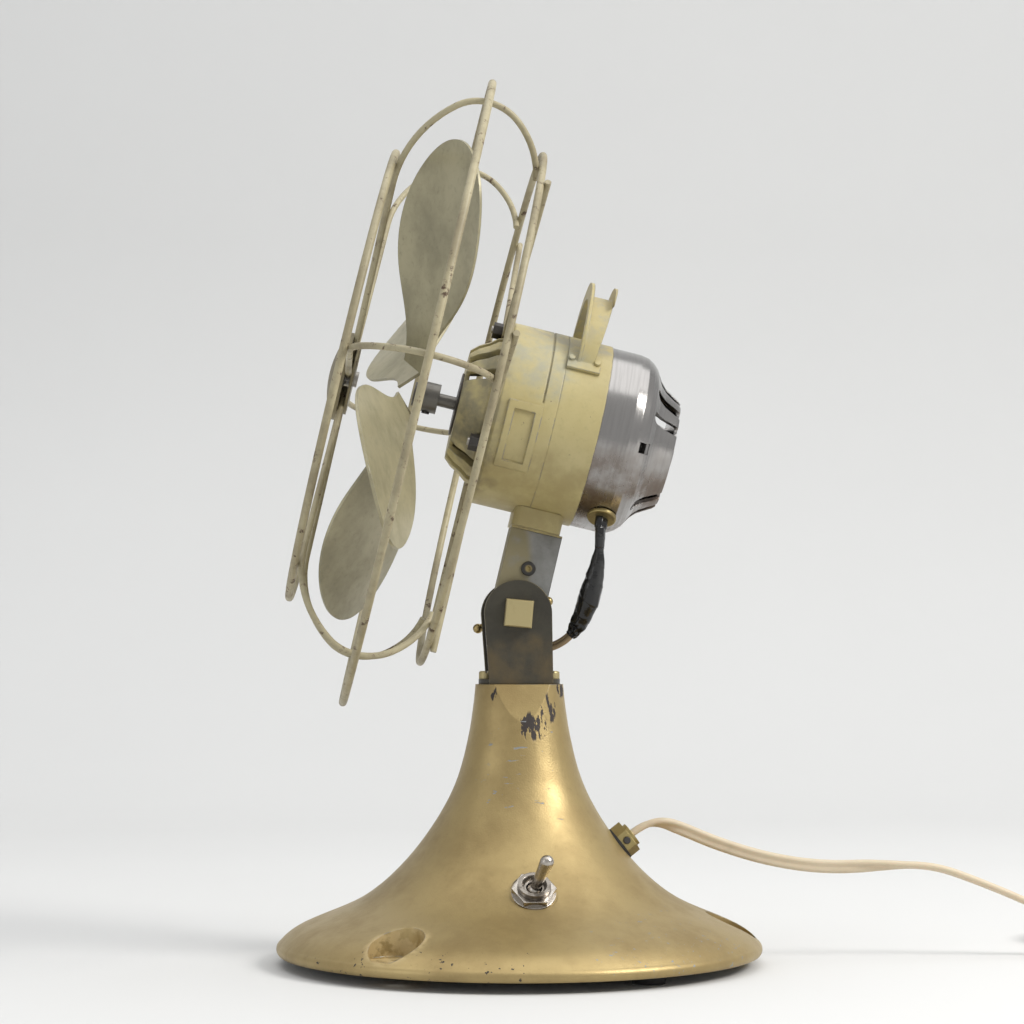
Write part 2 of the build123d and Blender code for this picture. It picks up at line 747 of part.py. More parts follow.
with BuildPart() as front_shell:
    with BuildSketch(head_section):
        with BuildLine():
            Polyline(bell_outline + [(motor_radius, seam), (0, seam), (0, bell_face), bell_outline[0]])
        make_face()
    revolve(axis=motor_axis)
    with BuildSketch(head_section):
        with BuildLine():
            wall = shell_wall
            Polyline(
                (0, bell_face + wall),
                (20.2, bell_face + wall),
                (24.8, bell_face + 11.2),
                (25.2, bell_seat + wall),
                (33.2, bell_seat + wall),
                (motor_radius - wall, bell_seat + 3.2),
                (motor_radius - wall, seam),
                (0, seam),
                (0, bell_face + wall),
            )
        make_face()
    revolve(axis=motor_axis, mode=Mode.SUBTRACT)
    # the bearing's housing
    with BuildSketch(motor.offset(bell_face + wall - 0.2)):
        Circle(bearing_radius + 2)
    extrude(amount=bearing_length)
    with BuildSketch(motor.offset(bell_face)):
        Circle(bearing_radius)
    extrude(amount=bearing_length + wall, mode=Mode.SUBTRACT)
    front_slots = window_slots(motor.offset(bell_face - 1), front_window_first)
    extrude(front_slots, amount=window_depth, mode=Mode.SUBTRACT)
    # the raised rounded frame on the near side, and the groove that runs from it over the top
    frame_base = motor_radius - groove_depth
    frame_top = motor_radius + frame_rise
    frame_block = ring_sector(motor.offset(frame_front), frame_base, frame_top, *frame_span)
    extrude(frame_block, amount=frame_length)
    inside_start = motor.offset(frame_front + frame_rib)
    frame_inside = ring_sector(inside_start, motor_radius, frame_top + 1, *frame_window)
    extrude(frame_inside, amount=frame_length - 2 * frame_rib, mode=Mode.SUBTRACT)
    groove = ring_sector(motor.offset(groove_place), frame_base, motor_radius + 1, *groove_span)
    extrude(groove, amount=groove_width, mode=Mode.SUBTRACT)
    # spot faces and holes of the three bolts that hold the cage
    with BuildSketch(motor.offset(bell_seat)):
        with PolarLocations(leg_stud_circle, 3):
            Circle(stud_radius + stud_wire_gap + 2 * hoop_wire + 0.15)
    extrude(amount=bell_face - bell_seat, mode=Mode.SUBTRACT)
    with BuildSketch(motor.offset(bell_seat)):
        with PolarLocations(leg_stud_circle, 3):
            Circle(stud_radius + screw_gap)
    extrude(amount=2 * wall, mode=Mode.SUBTRACT)
front_shell.part.label = "front_shell"
export_step(front_shell.part, "parts/front_shell.step")

with BuildPart() as rear_shell:
    with BuildSketch(motor.offset(seam)):
        Circle(motor_radius)
        Circle(motor_radius - shell_wall, mode=Mode.SUBTRACT)
    extrude(amount=rear_shell_end - seam)
    for rivet in rivet_planes:
        with BuildSketch(rivet):
            Circle(rivet_radius + screw_gap)
        extrude(amount=-handle_thickness - 2 * shell_wall, mode=Mode.SUBTRACT)
rear_shell.part.label = "rear_shell"
export_step(rear_shell.part, "parts/rear_shell.step")

cap_outline = [
    (cap_radius, rear_shell_end),
    (cap_radius, 23.5),
    (34.4, 26.7),
    (33.0, 29.1),
    (31.0, 31.1),
    (27.4, 33.2),
    (24.9, 35.6),
    (23.1, 38.5),
    (21.5, cap_end - 1.0),
    (20.6, cap_end),
]
cap_inner = [(radius - cap_wall, place - cap_wall) for radius, place in cap_outline]
with BuildPart() as rear_cap:
    with BuildSketch(head_section):
        with BuildLine():
            Polyline(cap_outline + [(0, cap_end), (0, rear_shell_end), cap_outline[0]])
        make_face()
    revolve(axis=motor_axis)
    with BuildSketch(head_section):
        with BuildLine():
            Polyline(cap_inner + [(0, cap_end - cap_wall), (0, rear_shell_end - cap_wall), cap_inner[0]])
        make_face()
    revolve(axis=motor_axis, mode=Mode.SUBTRACT)
    with BuildSketch(motor.offset(cap_end)):
        Circle(bearing_radius - 2)
    extrude(amount=2.0)
    rear_slots = window_slots(motor.offset(cap_end + 1), rear_window_first)
    extrude(rear_slots, amount=-window_depth, mode=Mode.SUBTRACT)
    with BuildSketch(lead_exit):
        Circle(grommet_neck + screw_gap)
    extrude(amount=-3 * cap_wall, mode=Mode.SUBTRACT)
    # three small square holes for the tabs that lock the cap
    with BuildSketch(motor.offset(tab_hole_place)):
        with PolarLocations(tab_hole_circle, 3, start_angle=tab_hole_first):
            Rectangle(tab_hole * 2, tab_hole)
    extrude(amount=tab_hole, mode=Mode.SUBTRACT)
rear_cap.part.label = "rear_cap"
export_step(rear_cap.part, "parts/rear_cap.step")

# ------------------------------------------------------------------ inside the motor
with BuildPart() as front_bearing:
    with BuildSketch(motor.offset(bell_face)):
        Circle(bearing_radius - bearing_gap)
        Circle(shaft_radius + bearing_gap, mode=Mode.SUBTRACT)
    extrude(amount=bearing_length)
front_bearing.part.label = "front_bearing"
export_step(front_bearing.part, "parts/front_bearing.step")

with BuildPart() as front_bearing_plate:
    with BuildSketch(motor.offset(bell_face)):
        Circle(plate_radius)
        Circle(shaft_radius + 1.0, mode=Mode.SUBTRACT)
    extrude(amount=-plate_thickness)
front_bearing_plate.part.label = "front_bearing_plate"
export_step(front_bearing_plate.part, "parts/front_bearing_plate.step")

bridge_place = rear_shell_end - bridge_thickness
with BuildPart() as rear_bearing_bridge:
    # the plate across the rear casting that holds the rear bearing
    with BuildSketch(motor.offset(bridge_place)):
        Circle(motor_radius - shell_wall - 0.05)
        with PolarLocations(bridge_hole_circle, 3, start_angle=60):
            Circle(bridge_hole_radius, mode=Mode.SUBTRACT)
        with PolarLocations(leg_stud_circle, 3):
            Circle(stud_radius + screw_gap, mode=Mode.SUBTRACT)
    extrude(amount=bridge_thickness)
    with BuildSketch(motor.offset(bridge_place)):
        Circle(bearing_radius + 2)
    extrude(amount=bearing_length)
    with BuildSketch(motor.offset(bridge_place)):
        Circle(bearing_radius)
    extrude(amount=bearing_length, mode=Mode.SUBTRACT)
rear_bearing_bridge.part.label = "rear_bearing_bridge"
export_step(rear_bearing_bridge.part, "parts/rear_bearing_bridge.step")

with BuildPart() as rear_bearing:
    with BuildSketch(motor.offset(bridge_place)):
        Circle(bearing_radius - bearing_gap)
        Circle(shaft_radius + bearing_gap, mode=Mode.SUBTRACT)
    extrude(amount=bearing_length)
rear_bearing.part.label = "rear_bearing"
export_step(rear_bearing.part, "parts/rear_bearing.step")

with BuildPart() as stator_core:
    with BuildSketch(motor.offset(stator_front)):
        Circle(motor_radius - shell_wall - 0.05)
        Circle(stator_bore, mode=Mode.SUBTRACT)
        with PolarLocations(stator_slot_circle, 4, start_angle=45):
            Circle(stator_slot_radius, mode=Mode.SUBTRACT)
        with PolarLocations(leg_stud_circle, 3):
            Circle(stud_radius + loose_gap, mode=Mode.SUBTRACT)
    extrude(amount=stator_rear - stator_front)
stator_core.part.label = "stator_core"
export_step(stator_core.part, "parts/stator_core.step")

with BuildPart() as field_coils:
    # four coils, each through two neighbouring slots, seen as arches at both ends of the core
    for quarter in range(4):
        start = 90 * quarter - 45 + coil_edge
        end = 90 * quarter + 45 - coil_edge
        for place, side in ((stator_front, -1), (stator_rear, 1)):
            arch = ring_sector(motor.offset(place), coil_inner, coil_outer_radius, start, end)
            extrude(arch, amount=side * coil_height)
field_coils.part.label = "field_coils"
export_step(field_coils.part, "parts/field_coils.step")

with BuildPart() as rotor_core:
    with BuildSketch(motor.offset(stator_front)):
        Circle(rotor_radius)
    extrude(amount=stator_rear - stator_front)
    for face in (stator_front, stator_rear + rotor_ring):
        with BuildSketch(motor.offset(face)):
            Circle(rotor_radius - 1)
            Circle(rotor_radius - 5, mode=Mode.SUBTRACT)
        extrude(amount=-rotor_ring)
    with BuildSketch(motor.offset(stator_front - rotor_ring)):
        Circle(shaft_radius)
    extrude(amount=stator_rear - stator_front + 2 * rotor_ring, mode=Mode.SUBTRACT)
rotor_core.part.label = "rotor_core"
export_step(rotor_core.part, "parts/rotor_core.step")

with BuildPart() as motor_shaft:
    with BuildSketch(motor.offset(shaft_front)):
        Circle(shaft_radius)
    extrude(amount=shaft_rear - shaft_front)
    chamfer(motor_shaft.edges().filter_by(GeomType.CIRCLE), 0.4)
motor_shaft.part.label = "motor_shaft"
export_step(motor_shaft.part, "parts/motor_shaft.step")

with BuildPart() as thrust_collars:
    front_end = bell_face + bearing_length + collar_gap
    rear_end = bridge_place - collar_gap
    for place, side in ((front_end, 1), (rear_end, -1)):
        with BuildSketch(motor.offset(place)):
            Circle(shaft_radius + 2)
            Circle(shaft_radius, mode=Mode.SUBTRACT)
        extrude(amount=side * collar_length)
thrust_collars.part.label = "thrust_collars"
export_step(thrust_collars.part, "parts/thrust_collars.step")

with BuildPart() as through_bolts:
    # three long bolts: head behind the bearing bridge, thread out through the front for the cage
    with BuildSketch(motor.offset(rear_shell_end)):
        with PolarLocations(leg_stud_circle, 3):
            Circle(stud_head_radius)
    extrude(amount=stud_head_height)
    with BuildSketch(motor.offset(stud_front)):
        with PolarLocations(leg_stud_circle, 3):
            Circle(stud_radius)
    extrude(amount=rear_shell_end - stud_front)
through_bolts.part.label = "through_bolts"
export_step(through_bolts.part, "parts/through_bolts.step")

with BuildPart() as grommet:
    with BuildSketch(lead_exit):
        Circle(grommet_radius)
    extrude(amount=grommet_rim)
    fillet(grommet.edges().sort_by(Axis(lead_exit.origin, lead_out))[-1], 0.6)
    with BuildSketch(lead_exit):
        Circle(grommet_neck)
    extrude(amount=-grommet_depth)
    with BuildSketch(lead_exit.offset(grommet_rim)):
        Circle(lead_radius + grommet_gap)
    extrude(amount=-grommet_rim - grommet_depth, mode=Mode.SUBTRACT)
grommet.part.label = "grommet"
export_step(grommet.part, "parts/grommet.step")

# ------------------------------------------------------------------ carrying handle
foot_turn = math.radians(handle_foot_angle)
foot_up = motor_radius * math.cos(foot_turn)
foot_side = motor_radius * math.sin(foot_turn)
gutter_floor = handle_apex - handle_gutter
handle_front = handle_plane - handle_width / 2
handle_back = handle_plane + handle_width / 2
top_front = handle_top_plane - handle_top_width / 2
top_back = handle_top_plane + handle_top_width / 2
with BuildPart() as handle:
    with BuildSketch(motor.offset(top_front)):
        with BuildLine():
            outer_arch = ThreePointArc(
                (foot_up, -foot_side - 1.2 * handle_thickness),
                (handle_apex, 0),
                (foot_up, foot_side + 1.2 * handle_thickness),
            )
            inner_arch = ThreePointArc(
                (foot_up, -foot_side), (gutter_floor - handle_thickness, 0), (foot_up, foot_side)
            )
            Line(outer_arch @ 0, inner_arch @ 0)
            Line(outer_arch @ 1, inner_arch @ 1)
        make_face()
    extrude(amount=handle_top_width)
    # the gutter along its back
    with BuildSketch(motor.offset(top_front + handle_thickness)):
        with BuildLine():
            gutter_line = ThreePointArc(
                (foot_up, -foot_side - handle_thickness),
                (gutter_floor, 0),
                (foot_up, foot_side + handle_thickness),
            )
            Polyline(
                gutter_line @ 1,
                (foot_up, 2 * handle_apex),
                (2 * handle_apex, 2 * handle_apex),
                (2 * handle_apex, -2 * handle_apex),
                (foot_up, -2 * handle_apex),
                gutter_line @ 0,
            )
        make_face()
    extrude(amount=handle_top_width - 2 * handle_thickness, mode=Mode.SUBTRACT)
    # seen from the side it widens from the feet to the top
    with BuildSketch(head_section.offset(-2 * motor_radius)):
        Polygon(
            (foot_up - 1, handle_front),
            (handle_apex + 1, top_front),
            (handle_apex + 1, top_back),
            (foot_up - 1, handle_back),
            align=None,
        )
    extrude(amount=4 * motor_radius, mode=Mode.INTERSECT)
    with BuildSketch(motor):
        Circle(motor_radius)
    extrude(amount=2 * motor_radius, both=True, mode=Mode.SUBTRACT)
    for side in (-1, 1):
        start = side * handle_foot_angle - handle_foot_half
        end = side * handle_foot_angle + handle_foot_half
        plate_plane = motor.offset(handle_plane - handle_foot_width / 2)
        plate = ring_sector(plate_plane, motor_radius, motor_radius + handle_thickness, start, end)
        extrude(plate, amount=handle_foot_width)
    for rivet in rivet_planes:
        with BuildSketch(rivet):
            Circle(rivet_radius + screw_gap)
        extrude(amount=-2 * handle_thickness, mode=Mode.SUBTRACT)
handle.part.label = "handle"
export_step(handle.part, "parts/handle.step")

with BuildPart() as handle_rivets:
    for rivet in rivet_planes:
        with BuildSketch(rivet):
            Circle(rivet_head_radius)
        extrude(amount=rivet_head_height)
        with BuildSketch(rivet):
            Circle(rivet_radius)
        extrude(amount=-handle_thickness - shell_wall + 0.2)
handle_rivets.part.label = "handle_rivets"
export_step(handle_rivets.part, "parts/handle_rivets.step")

# ------------------------------------------------------------------ wire cage


def quarter_radii(reach, depth, turn):
    """Long and short arc radii of a quarter turn, reach by depth, whose long arc takes a given turn."""
    sine = math.sin(math.radians(turn))
    cosine = math.cos(math.radians(turn))
    short = (depth - reach * (1 - cosine) / sine) / (cosine - (1 - sine) * (1 - cosine) / sine)
    return (reach - (1 - sine) * short) / sine, short


front_long, front_short = quarter_radii(hoop_front_rise, hoop_belly - hoop_face, hoop_split)
rear_long, rear_short = quarter_radii(hoop_rear_rise, hoop_rear_depth, hoop_split)
front_turn_start = hoop_reach - hoop_front_rise
rear_turn_end = hoop_reach - hoop_rear_rise
# the rings lie against the hoops, sunk in by the weld
front_ring_reach = front_long + hoop_wire + front_ring_wire - weld_bite
front_ring_place = hoop_face + front_long - math.sqrt(
    front_ring_reach**2 - (front_ring_radius - front_turn_start) ** 2
)
rear_ring_reach = rear_long + hoop_wire + rear_ring_wire - weld_bite
rear_ring_place = hoop_belly + hoop_rear_depth - rear_long + math.sqrt(
    rear_ring_reach**2 - (rear_ring_radius - rear_turn_end) ** 2
)
middle_ring_radius = hoop_reach + hoop_wire + middle_ring_wire - weld_bite

with BuildPart() as cage_front_ring:
    with BuildSketch(head_section):
        with Locations((front_ring_radius, front_ring_place)):
            Circle(front_ring_wire)
    revolve(axis=motor_axis)
cage_front_ring.part.label = "cage_front_ring"
export_step(cage_front_ring.part, "parts/cage_front_ring.step")

with BuildPart() as cage_middle_ring:
    with BuildSketch(head_section):
        with Locations((middle_ring_radius, hoop_belly)):
            Circle(middle_ring_wire)
    revolve(axis=motor_axis)
cage_middle_ring.part.label = "cage_middle_ring"
export_step(cage_middle_ring.part, "parts/cage_middle_ring.step")

with BuildPart() as cage_rear_ring:
    with BuildSketch(head_section):
        with Locations((rear_ring_radius, rear_ring_place)):
            Circle(rear_ring_wire)
    revolve(axis=motor_axis)
cage_rear_ring.part.label = "cage_rear_ring"
export_step(cage_rear_ring.part, "parts/cage_rear_ring.step")

hoop_end_turn = 90 - math.degrees(math.asin((hoop_end_radius - rear_turn_end) / rear_long))
with BuildPart() as cage_hoops:
    for hoop in range(hoop_count):
        out = around_motor(30 + 360 / hoop_count * hoop)
        hoop_plane = Plane(origin=motor_centre, x_dir=out, z_dir=out.cross(head_rear))
        with BuildLine(hoop_plane) as hoop_line:
            flat = Line((hoop_start_radius, hoop_face), (front_turn_start, hoop_face))
            first = JernArc(flat @ 1, (1, 0), front_long, hoop_split)
            second = JernArc(first @ 1, first % 1, front_short, 90 - hoop_split)
            third = JernArc(second @ 1, second % 1, rear_short, 90 - hoop_split)
            JernArc(third @ 1, third % 1, rear_long, hoop_end_turn - 90 + hoop_split)
        with BuildSketch(Plane(origin=flat @ 0, z_dir=out)):
            Circle(hoop_wire)
        sweep(path=hoop_line.line)
cage_hoops.part.label = "cage_hoops"
export_step(cage_hoops.part, "parts/cage_hoops.step")

leg_place = bell_seat - hoop_wire
leg_loop_radius = stud_radius + stud_wire_gap + hoop_wire
leg_end_radius = rear_ring_radius + 2
with BuildPart() as cage_legs:
    for leg in range(3):
        out = around_motor(120 * leg)
        leg_plane = Plane(origin=motor_centre + head_rear * leg_place, x_dir=out, z_dir=head_rear)
        opening = math.radians(leg_angle)
        end_out = leg_end_radius * math.cos(opening)
        end_side = leg_end_radius * math.sin(opening)
        apart = math.hypot(end_out - leg_stud_circle, end_side)
        touch = math.atan2(end_side, end_out - leg_stud_circle) + math.acos(leg_loop_radius / apart)
        touch_out = leg_stud_circle + leg_loop_radius * math.cos(touch)
        touch_side = leg_loop_radius * math.sin(touch)
        with BuildLine(leg_plane) as leg_line:
            Line((end_out, end_side), (touch_out, touch_side))
            ThreePointArc(
                (touch_out, touch_side), (leg_stud_circle - leg_loop_radius, 0), (touch_out, -touch_side)
            )
            Line((touch_out, -touch_side), (end_out, -end_side))
        start = leg_line.line @ 0
        with BuildSketch(Plane(origin=start, z_dir=leg_line.line % 0)):
            Circle(hoop_wire)
        sweep(path=leg_line.line)
cage_legs.part.label = "cage_legs"
export_step(cage_legs.part, "parts/cage_legs.step")

with BuildPart() as cage_nuts:
    with BuildSketch(motor.offset(leg_place - hoop_wire)):
        with PolarLocations(leg_stud_circle, 3):
            RegularPolygon(across_corners(cage_nut_flats), 6)
            Circle(stud_radius + screw_gap, mode=Mode.SUBTRACT)
    extrude(amount=-cage_nut_height)
cage_nuts.part.label = "cage_nuts"
export_step(cage_nuts.part, "parts/cage_nuts.step")

badge_seat = hoop_face - hoop_wire + weld_bite
badge_edge = badge_seat - badge_rim
badge_sphere = (badge_radius**2 + badge_dome**2) / (2 * badge_dome)
dome_middle = math.sqrt(badge_sphere**2 - badge_radius**2 / 4) - (badge_sphere - badge_dome)
with BuildPart() as badge:
    with BuildSketch(head_section):
        with BuildLine():
            dome = ThreePointArc(
                (badge_radius, badge_edge),
                (badge_radius / 2, badge_edge - dome_middle),
                (0, badge_edge - badge_dome),
            )
            Polyline(dome @ 1, (0, badge_seat), (badge_radius, badge_seat), dome @ 0)
        make_face()
    revolve(axis=motor_axis)
    with BuildSketch(motor.offset(badge_seat)):
        Circle(badge_bolt_radius + screw_gap)
    extrude(amount=-badge_rim, mode=Mode.SUBTRACT)
badge.part.label = "badge"
export_step(badge.part, "parts/badge.step")

plate_seat = hoop_face + hoop_wire - weld_bite
with BuildPart() as badge_back_plate:
    with BuildSketch(motor.offset(plate_seat)):
        Circle(badge_radius - 3)
        Circle(badge_bolt_radius + loose_gap, mode=Mode.SUBTRACT)
    extrude(amount=badge_plate_thickness)
badge_back_plate.part.label = "badge_back_plate"
export_step(badge_back_plate.part, "parts/badge_back_plate.step")

with BuildPart() as badge_screw:
    with BuildSketch(motor.offset(plate_seat + badge_plate_thickness)):
        Circle(2 * badge_bolt_radius)
    extrude(amount=badge_bolt_radius)
    with BuildSketch(motor.offset(plate_seat + badge_plate_thickness)):
        Circle(badge_bolt_radius)
    extrude(amount=badge_seat - plate_seat - badge_plate_thickness - badge_rim + 0.4)
badge_screw.part.label = "badge_screw"
export_step(badge_screw.part, "parts/badge_screw.step")

# ------------------------------------------------------------------ fan
with BuildPart() as fan_hub:
    with BuildSketch(motor.offset(hub_front)):
        Circle(hub_radius)
    extrude(amount=hub_rear - hub_front)
    with BuildSketch(motor.offset(hub_front)):
        Circle(hub_step_radius)
    extrude(amount=-spider_thickness - hub_step_proud)
    with BuildSketch(motor.offset(hub_front - 5)):
        Circle(shaft_radius)
    extrude(amount=hub_rear - hub_front + 10, mode=Mode.SUBTRACT)
    with BuildSketch(hub_screw_plane):
        Circle(hub_screw_radius + screw_gap)
    extrude(amount=-hub_radius, mode=Mode.SUBTRACT)
fan_hub.part.label = "fan_hub"
export_step(fan_hub.part, "parts/fan_hub.step")

with BuildPart() as hub_set_screw:
    with BuildSketch(hub_screw_plane.offset(hub_screw_slot)):
        Circle(hub_screw_radius)
    extrude(amount=-hub_radius + shaft_radius - hub_screw_slot)
    with BuildSketch(hub_screw_plane.offset(hub_screw_slot)):
        Rectangle(2 * hub_screw_radius, hub_screw_slot)
    extrude(amount=-hub_screw_slot, mode=Mode.SUBTRACT)
hub_set_screw.part.label = "hub_set_screw"
export_step(hub_set_screw.part, "parts/hub_set_screw.step")

blade_middle = motor_centre + head_rear * blade_place


blade_out = around_motor(blade_first)
blade_along = around_motor(blade_first + 90)


def blade_chord(radius):
    """The way a blade's section points, which turns with the radius."""
    pitch = math.radians(blade_pitch - blade_twist * (radius - blade_radius / 2))
    return blade_along * math.cos(pitch) + head_rear * math.sin(pitch)


def blade_bulge(radius):
    """The sections are flatter near the hub, as the pressed blade is."""
    return 0.35 + 0.65 * min(1.0, radius / (0.6 * blade_radius))


def blade_section(radius):
    """One thin arched section of a blade, square to its radius."""
    plane = Plane(origin=blade_middle + blade_out * radius, x_dir=blade_chord(radius), z_dir=blade_out)
    arch = blade_camber * blade_bulge(radius)
    if plane.y_dir.dot(head_rear) < 0:
        arch = -arch
    with BuildSketch(plane) as section:
        with BuildLine():
            face = ThreePointArc((-blade_stock, -arch / 2), (0, arch / 2), (blade_stock, -arch / 2))
            back = ThreePointArc(
                (-blade_stock, -arch / 2 - blade_thickness),
                (0, arch / 2 - blade_thickness),
                (blade_stock, -arch / 2 - blade_thickness),
            )
            Line(face @ 0, back @ 0)
            Line(face @ 1, back @ 1)
        make_face()
    return section.sketch


blade_plan = Plane(
    origin=blade_middle,
    x_dir=blade_chord(blade_radius / 2),
    z_dir=blade_chord(blade_radius / 2).cross(blade_out),
)
with BuildPart() as blade_form:
    with BuildSketch(blade_plan):
        with BuildLine():
            edge = Spline(*[(blade_radius * wide, blade_radius * out) for wide, out in blade_outline])
            Line(edge @ 1, edge @ 0)
        make_face()
    extrude(amount=blade_radius, both=True)

with BuildPart() as one_blade:
    for radius in (blade_root_radius, 0.35 * blade_radius, 0.68 * blade_radius, blade_radius + 2):
        add(blade_section(radius))
    loft()
    add(blade_form.part, mode=Mode.INTERSECT)

with BuildPart() as fan_blades:
    for blade in range(blade_count):
        add(one_blade.part.rotate(motor_axis, 360 / blade_count * blade))
    # the spider that the blades are joined to, on the hub's step
    with BuildSketch(motor.offset(hub_front)):
        Circle(spider_radius)
        Circle(hub_step_radius + spider_gap, mode=Mode.SUBTRACT)
    extrude(amount=-spider_thickness)
fan_blades.part.label = "fan_blades"
export_step(fan_blades.part, "parts/fan_blades.step")

# ------------------------------------------------------------------ switch
with BuildPart() as toggle_body:
    body_top = -switch_wall - back_nut - 0.2
    with BuildSketch(switch_seat.offset(body_top)):
        RectangleRounded(switch_body_length, switch_body_width, 1)
    extrude(amount=-switch_body_depth)
    with BuildSketch(switch_seat.offset(body_top)):
        Circle(bushing_radius)
    extrude(amount=bushing_out - body_top)
    lever_seat = Plane(
        origin=switch_seat.origin + switch_seat.z_dir * lever_pivot,
        x_dir=switch_seat.x_dir,
        z_dir=switch_seat.z_dir,
    )
    with BuildSketch(lever_seat.offset(-lever_ball - lever_ball_gap)):
        Circle(lever_ball + lever_ball_gap)
    extrude(amount=bushing_out + lever_ball, mode=Mode.SUBTRACT)
    with BuildSketch(switch_seat.offset(bushing_out)):
        Circle(bushing_mouth_radius)
    extrude(amount=-bushing_mouth_depth, taper=bushing_mouth_taper, mode=Mode.SUBTRACT)
toggle_body.part.label = "toggle_body"
export_step(toggle_body.part, "parts/toggle_body.step")

with BuildPart() as toggle_terminals:
    with BuildSketch(switch_seat.offset(body_top - switch_body_depth)):
        with GridLocations(terminal_spacing, 0, 3, 1):
            Rectangle(terminal_thickness, terminal_width)
    extrude(amount=-terminal_length)
toggle_terminals.part.label = "toggle_terminals"
export_step(toggle_terminals.part, "parts/toggle_terminals.step")

with BuildPart() as toggle_washer:
    with BuildSketch(switch_seat):
        Circle(across_corners(switch_nut_flats))
        Circle(bushing_radius + loose_gap, mode=Mode.SUBTRACT)
    extrude(amount=switch_washer)
toggle_washer.part.label = "toggle_washer"
export_step(toggle_washer.part, "parts/toggle_washer.step")

with BuildPart() as toggle_nut:
    with BuildSketch(switch_seat.offset(switch_washer)):
        RegularPolygon(across_corners(switch_nut_flats), 6)
        Circle(bushing_radius + screw_gap, mode=Mode.SUBTRACT)
    extrude(amount=switch_nut)
toggle_nut.part.label = "toggle_nut"
export_step(toggle_nut.part, "parts/toggle_nut.step")

with BuildPart() as toggle_back_nut:
    with BuildSketch(switch_seat.offset(-switch_wall)):
        RegularPolygon(across_corners(switch_nut_flats), 6)
        Circle(bushing_radius + screw_gap, mode=Mode.SUBTRACT)
    extrude(amount=-back_nut)
toggle_back_nut.part.label = "toggle_back_nut"
export_step(toggle_back_nut.part, "parts/toggle_back_nut.step")

lean = math.radians(lever_lean)
lever_out = switch_seat.z_dir * math.cos(lean) + switch_seat.x_dir * math.sin(lean)
lever_plane = Plane(origin=lever_seat.origin, x_dir=switch_seat.y_dir, z_dir=lever_out)
with BuildPart() as toggle_lever:
    with Locations(lever_plane.location):
        Sphere(lever_ball)
    with BuildSketch(lever_plane):
        Circle(lever_root)
    with BuildSketch(lever_plane.offset(lever_length - lever_tip)):
        Circle(lever_tip)
    loft()
    with Locations(lever_plane.offset(lever_length - lever_tip).location):
        Sphere(lever_tip)
toggle_lever.part.label = "toggle_lever"
export_step(toggle_lever.part, "parts/toggle_lever.step")

# ------------------------------------------------------------------ cord gland
with BuildPart() as gland_gasket_ring:
    with BuildSketch(gland_seat):
        Circle(gasket_radius)
        Circle(gland_thread + screw_gap, mode=Mode.SUBTRACT)
    extrude(amount=gland_gasket)
gland_gasket_ring.part.label = "cord_gland_gasket"
export_step(gland_gasket_ring.part, "parts/cord_gland_gasket.step")

with BuildPart() as cord_gland_nipple:
    with BuildSketch(gland_seat.offset(-gland_in)):
        Circle(gland_thread)
        Circle(gland_bore, mode=Mode.SUBTRACT)
    extrude(amount=gland_in + gland_out)
cord_gland_nipple.part.label = "cord_gland_nipple"
export_step(cord_gland_nipple.part, "parts/cord_gland_nipple.step")

collar_middle = gland_seat.offset(gland_gasket + gland_collar / 2).origin
gland_screw_plane = Plane(origin=collar_middle + near * gland_flats / 2, x_dir=(1, 0, 0), z_dir=near)
with BuildPart() as cord_gland_collar:
    with BuildSketch(gland_seat.offset(gland_gasket)):
        RegularPolygon(across_corners(gland_flats), 6, rotation=30)
        Circle(gland_thread + screw_gap, mode=Mode.SUBTRACT)
    extrude(amount=gland_collar)
    with BuildSketch(gland_screw_plane):
        Circle(gland_screw_radius + screw_gap)
    extrude(amount=-gland_flats / 2 + gland_thread, both=True, mode=Mode.SUBTRACT)
cord_gland_collar.part.label = "cord_gland_collar"
export_step(cord_gland_collar.part, "parts/cord_gland_collar.step")

with BuildPart() as cord_gland_screw:
    with BuildSketch(gland_screw_plane.offset(gland_screw_head)):
        Circle(gland_screw_radius)
    extrude(amount=-gland_screw_head - gland_flats / 2 + gland_thread + screw_gap)
cord_gland_screw.part.label = "cord_gland_screw"
export_step(cord_gland_screw.part, "parts/cord_gland_screw.step")

with BuildPart() as gland_inner_lock:
    with BuildSketch(gland_seat.offset(-gland_wall)):
        RegularPolygon(across_corners(gland_inner_flats), 6)
        Circle(gland_thread + screw_gap, mode=Mode.SUBTRACT)
    extrude(amount=-gland_inner_nut)
gland_inner_lock.part.label = "cord_gland_back_nut"
export_step(gland_inner_lock.part, "parts/cord_gland_back_nut.step")

# ------------------------------------------------------------------ mains cord


def route_radii(route, name):
    """As large an arc at each corner of a route as its two runs allow."""
    radii = []
    for before, corner, after in zip(route, route[1:], route[2:]):
        run_in = Vector(corner) - Vector(before)
        run_out = Vector(after) - Vector(corner)
        turn = math.radians(run_in.get_angle(run_out))
        radii.append(0.45 * min(run_in.length, run_out.length) / math.tan(turn / 2))
    print(name, "radii", [round(radius, 1) for radius in radii])
    return radii


def cord_check(name, part, length, radius):
    """Print a tube's volume against its section times its length."""
    print(name, "length", round(length, 1), "volume share", round(part.volume / (length * math.pi * radius**2), 4))


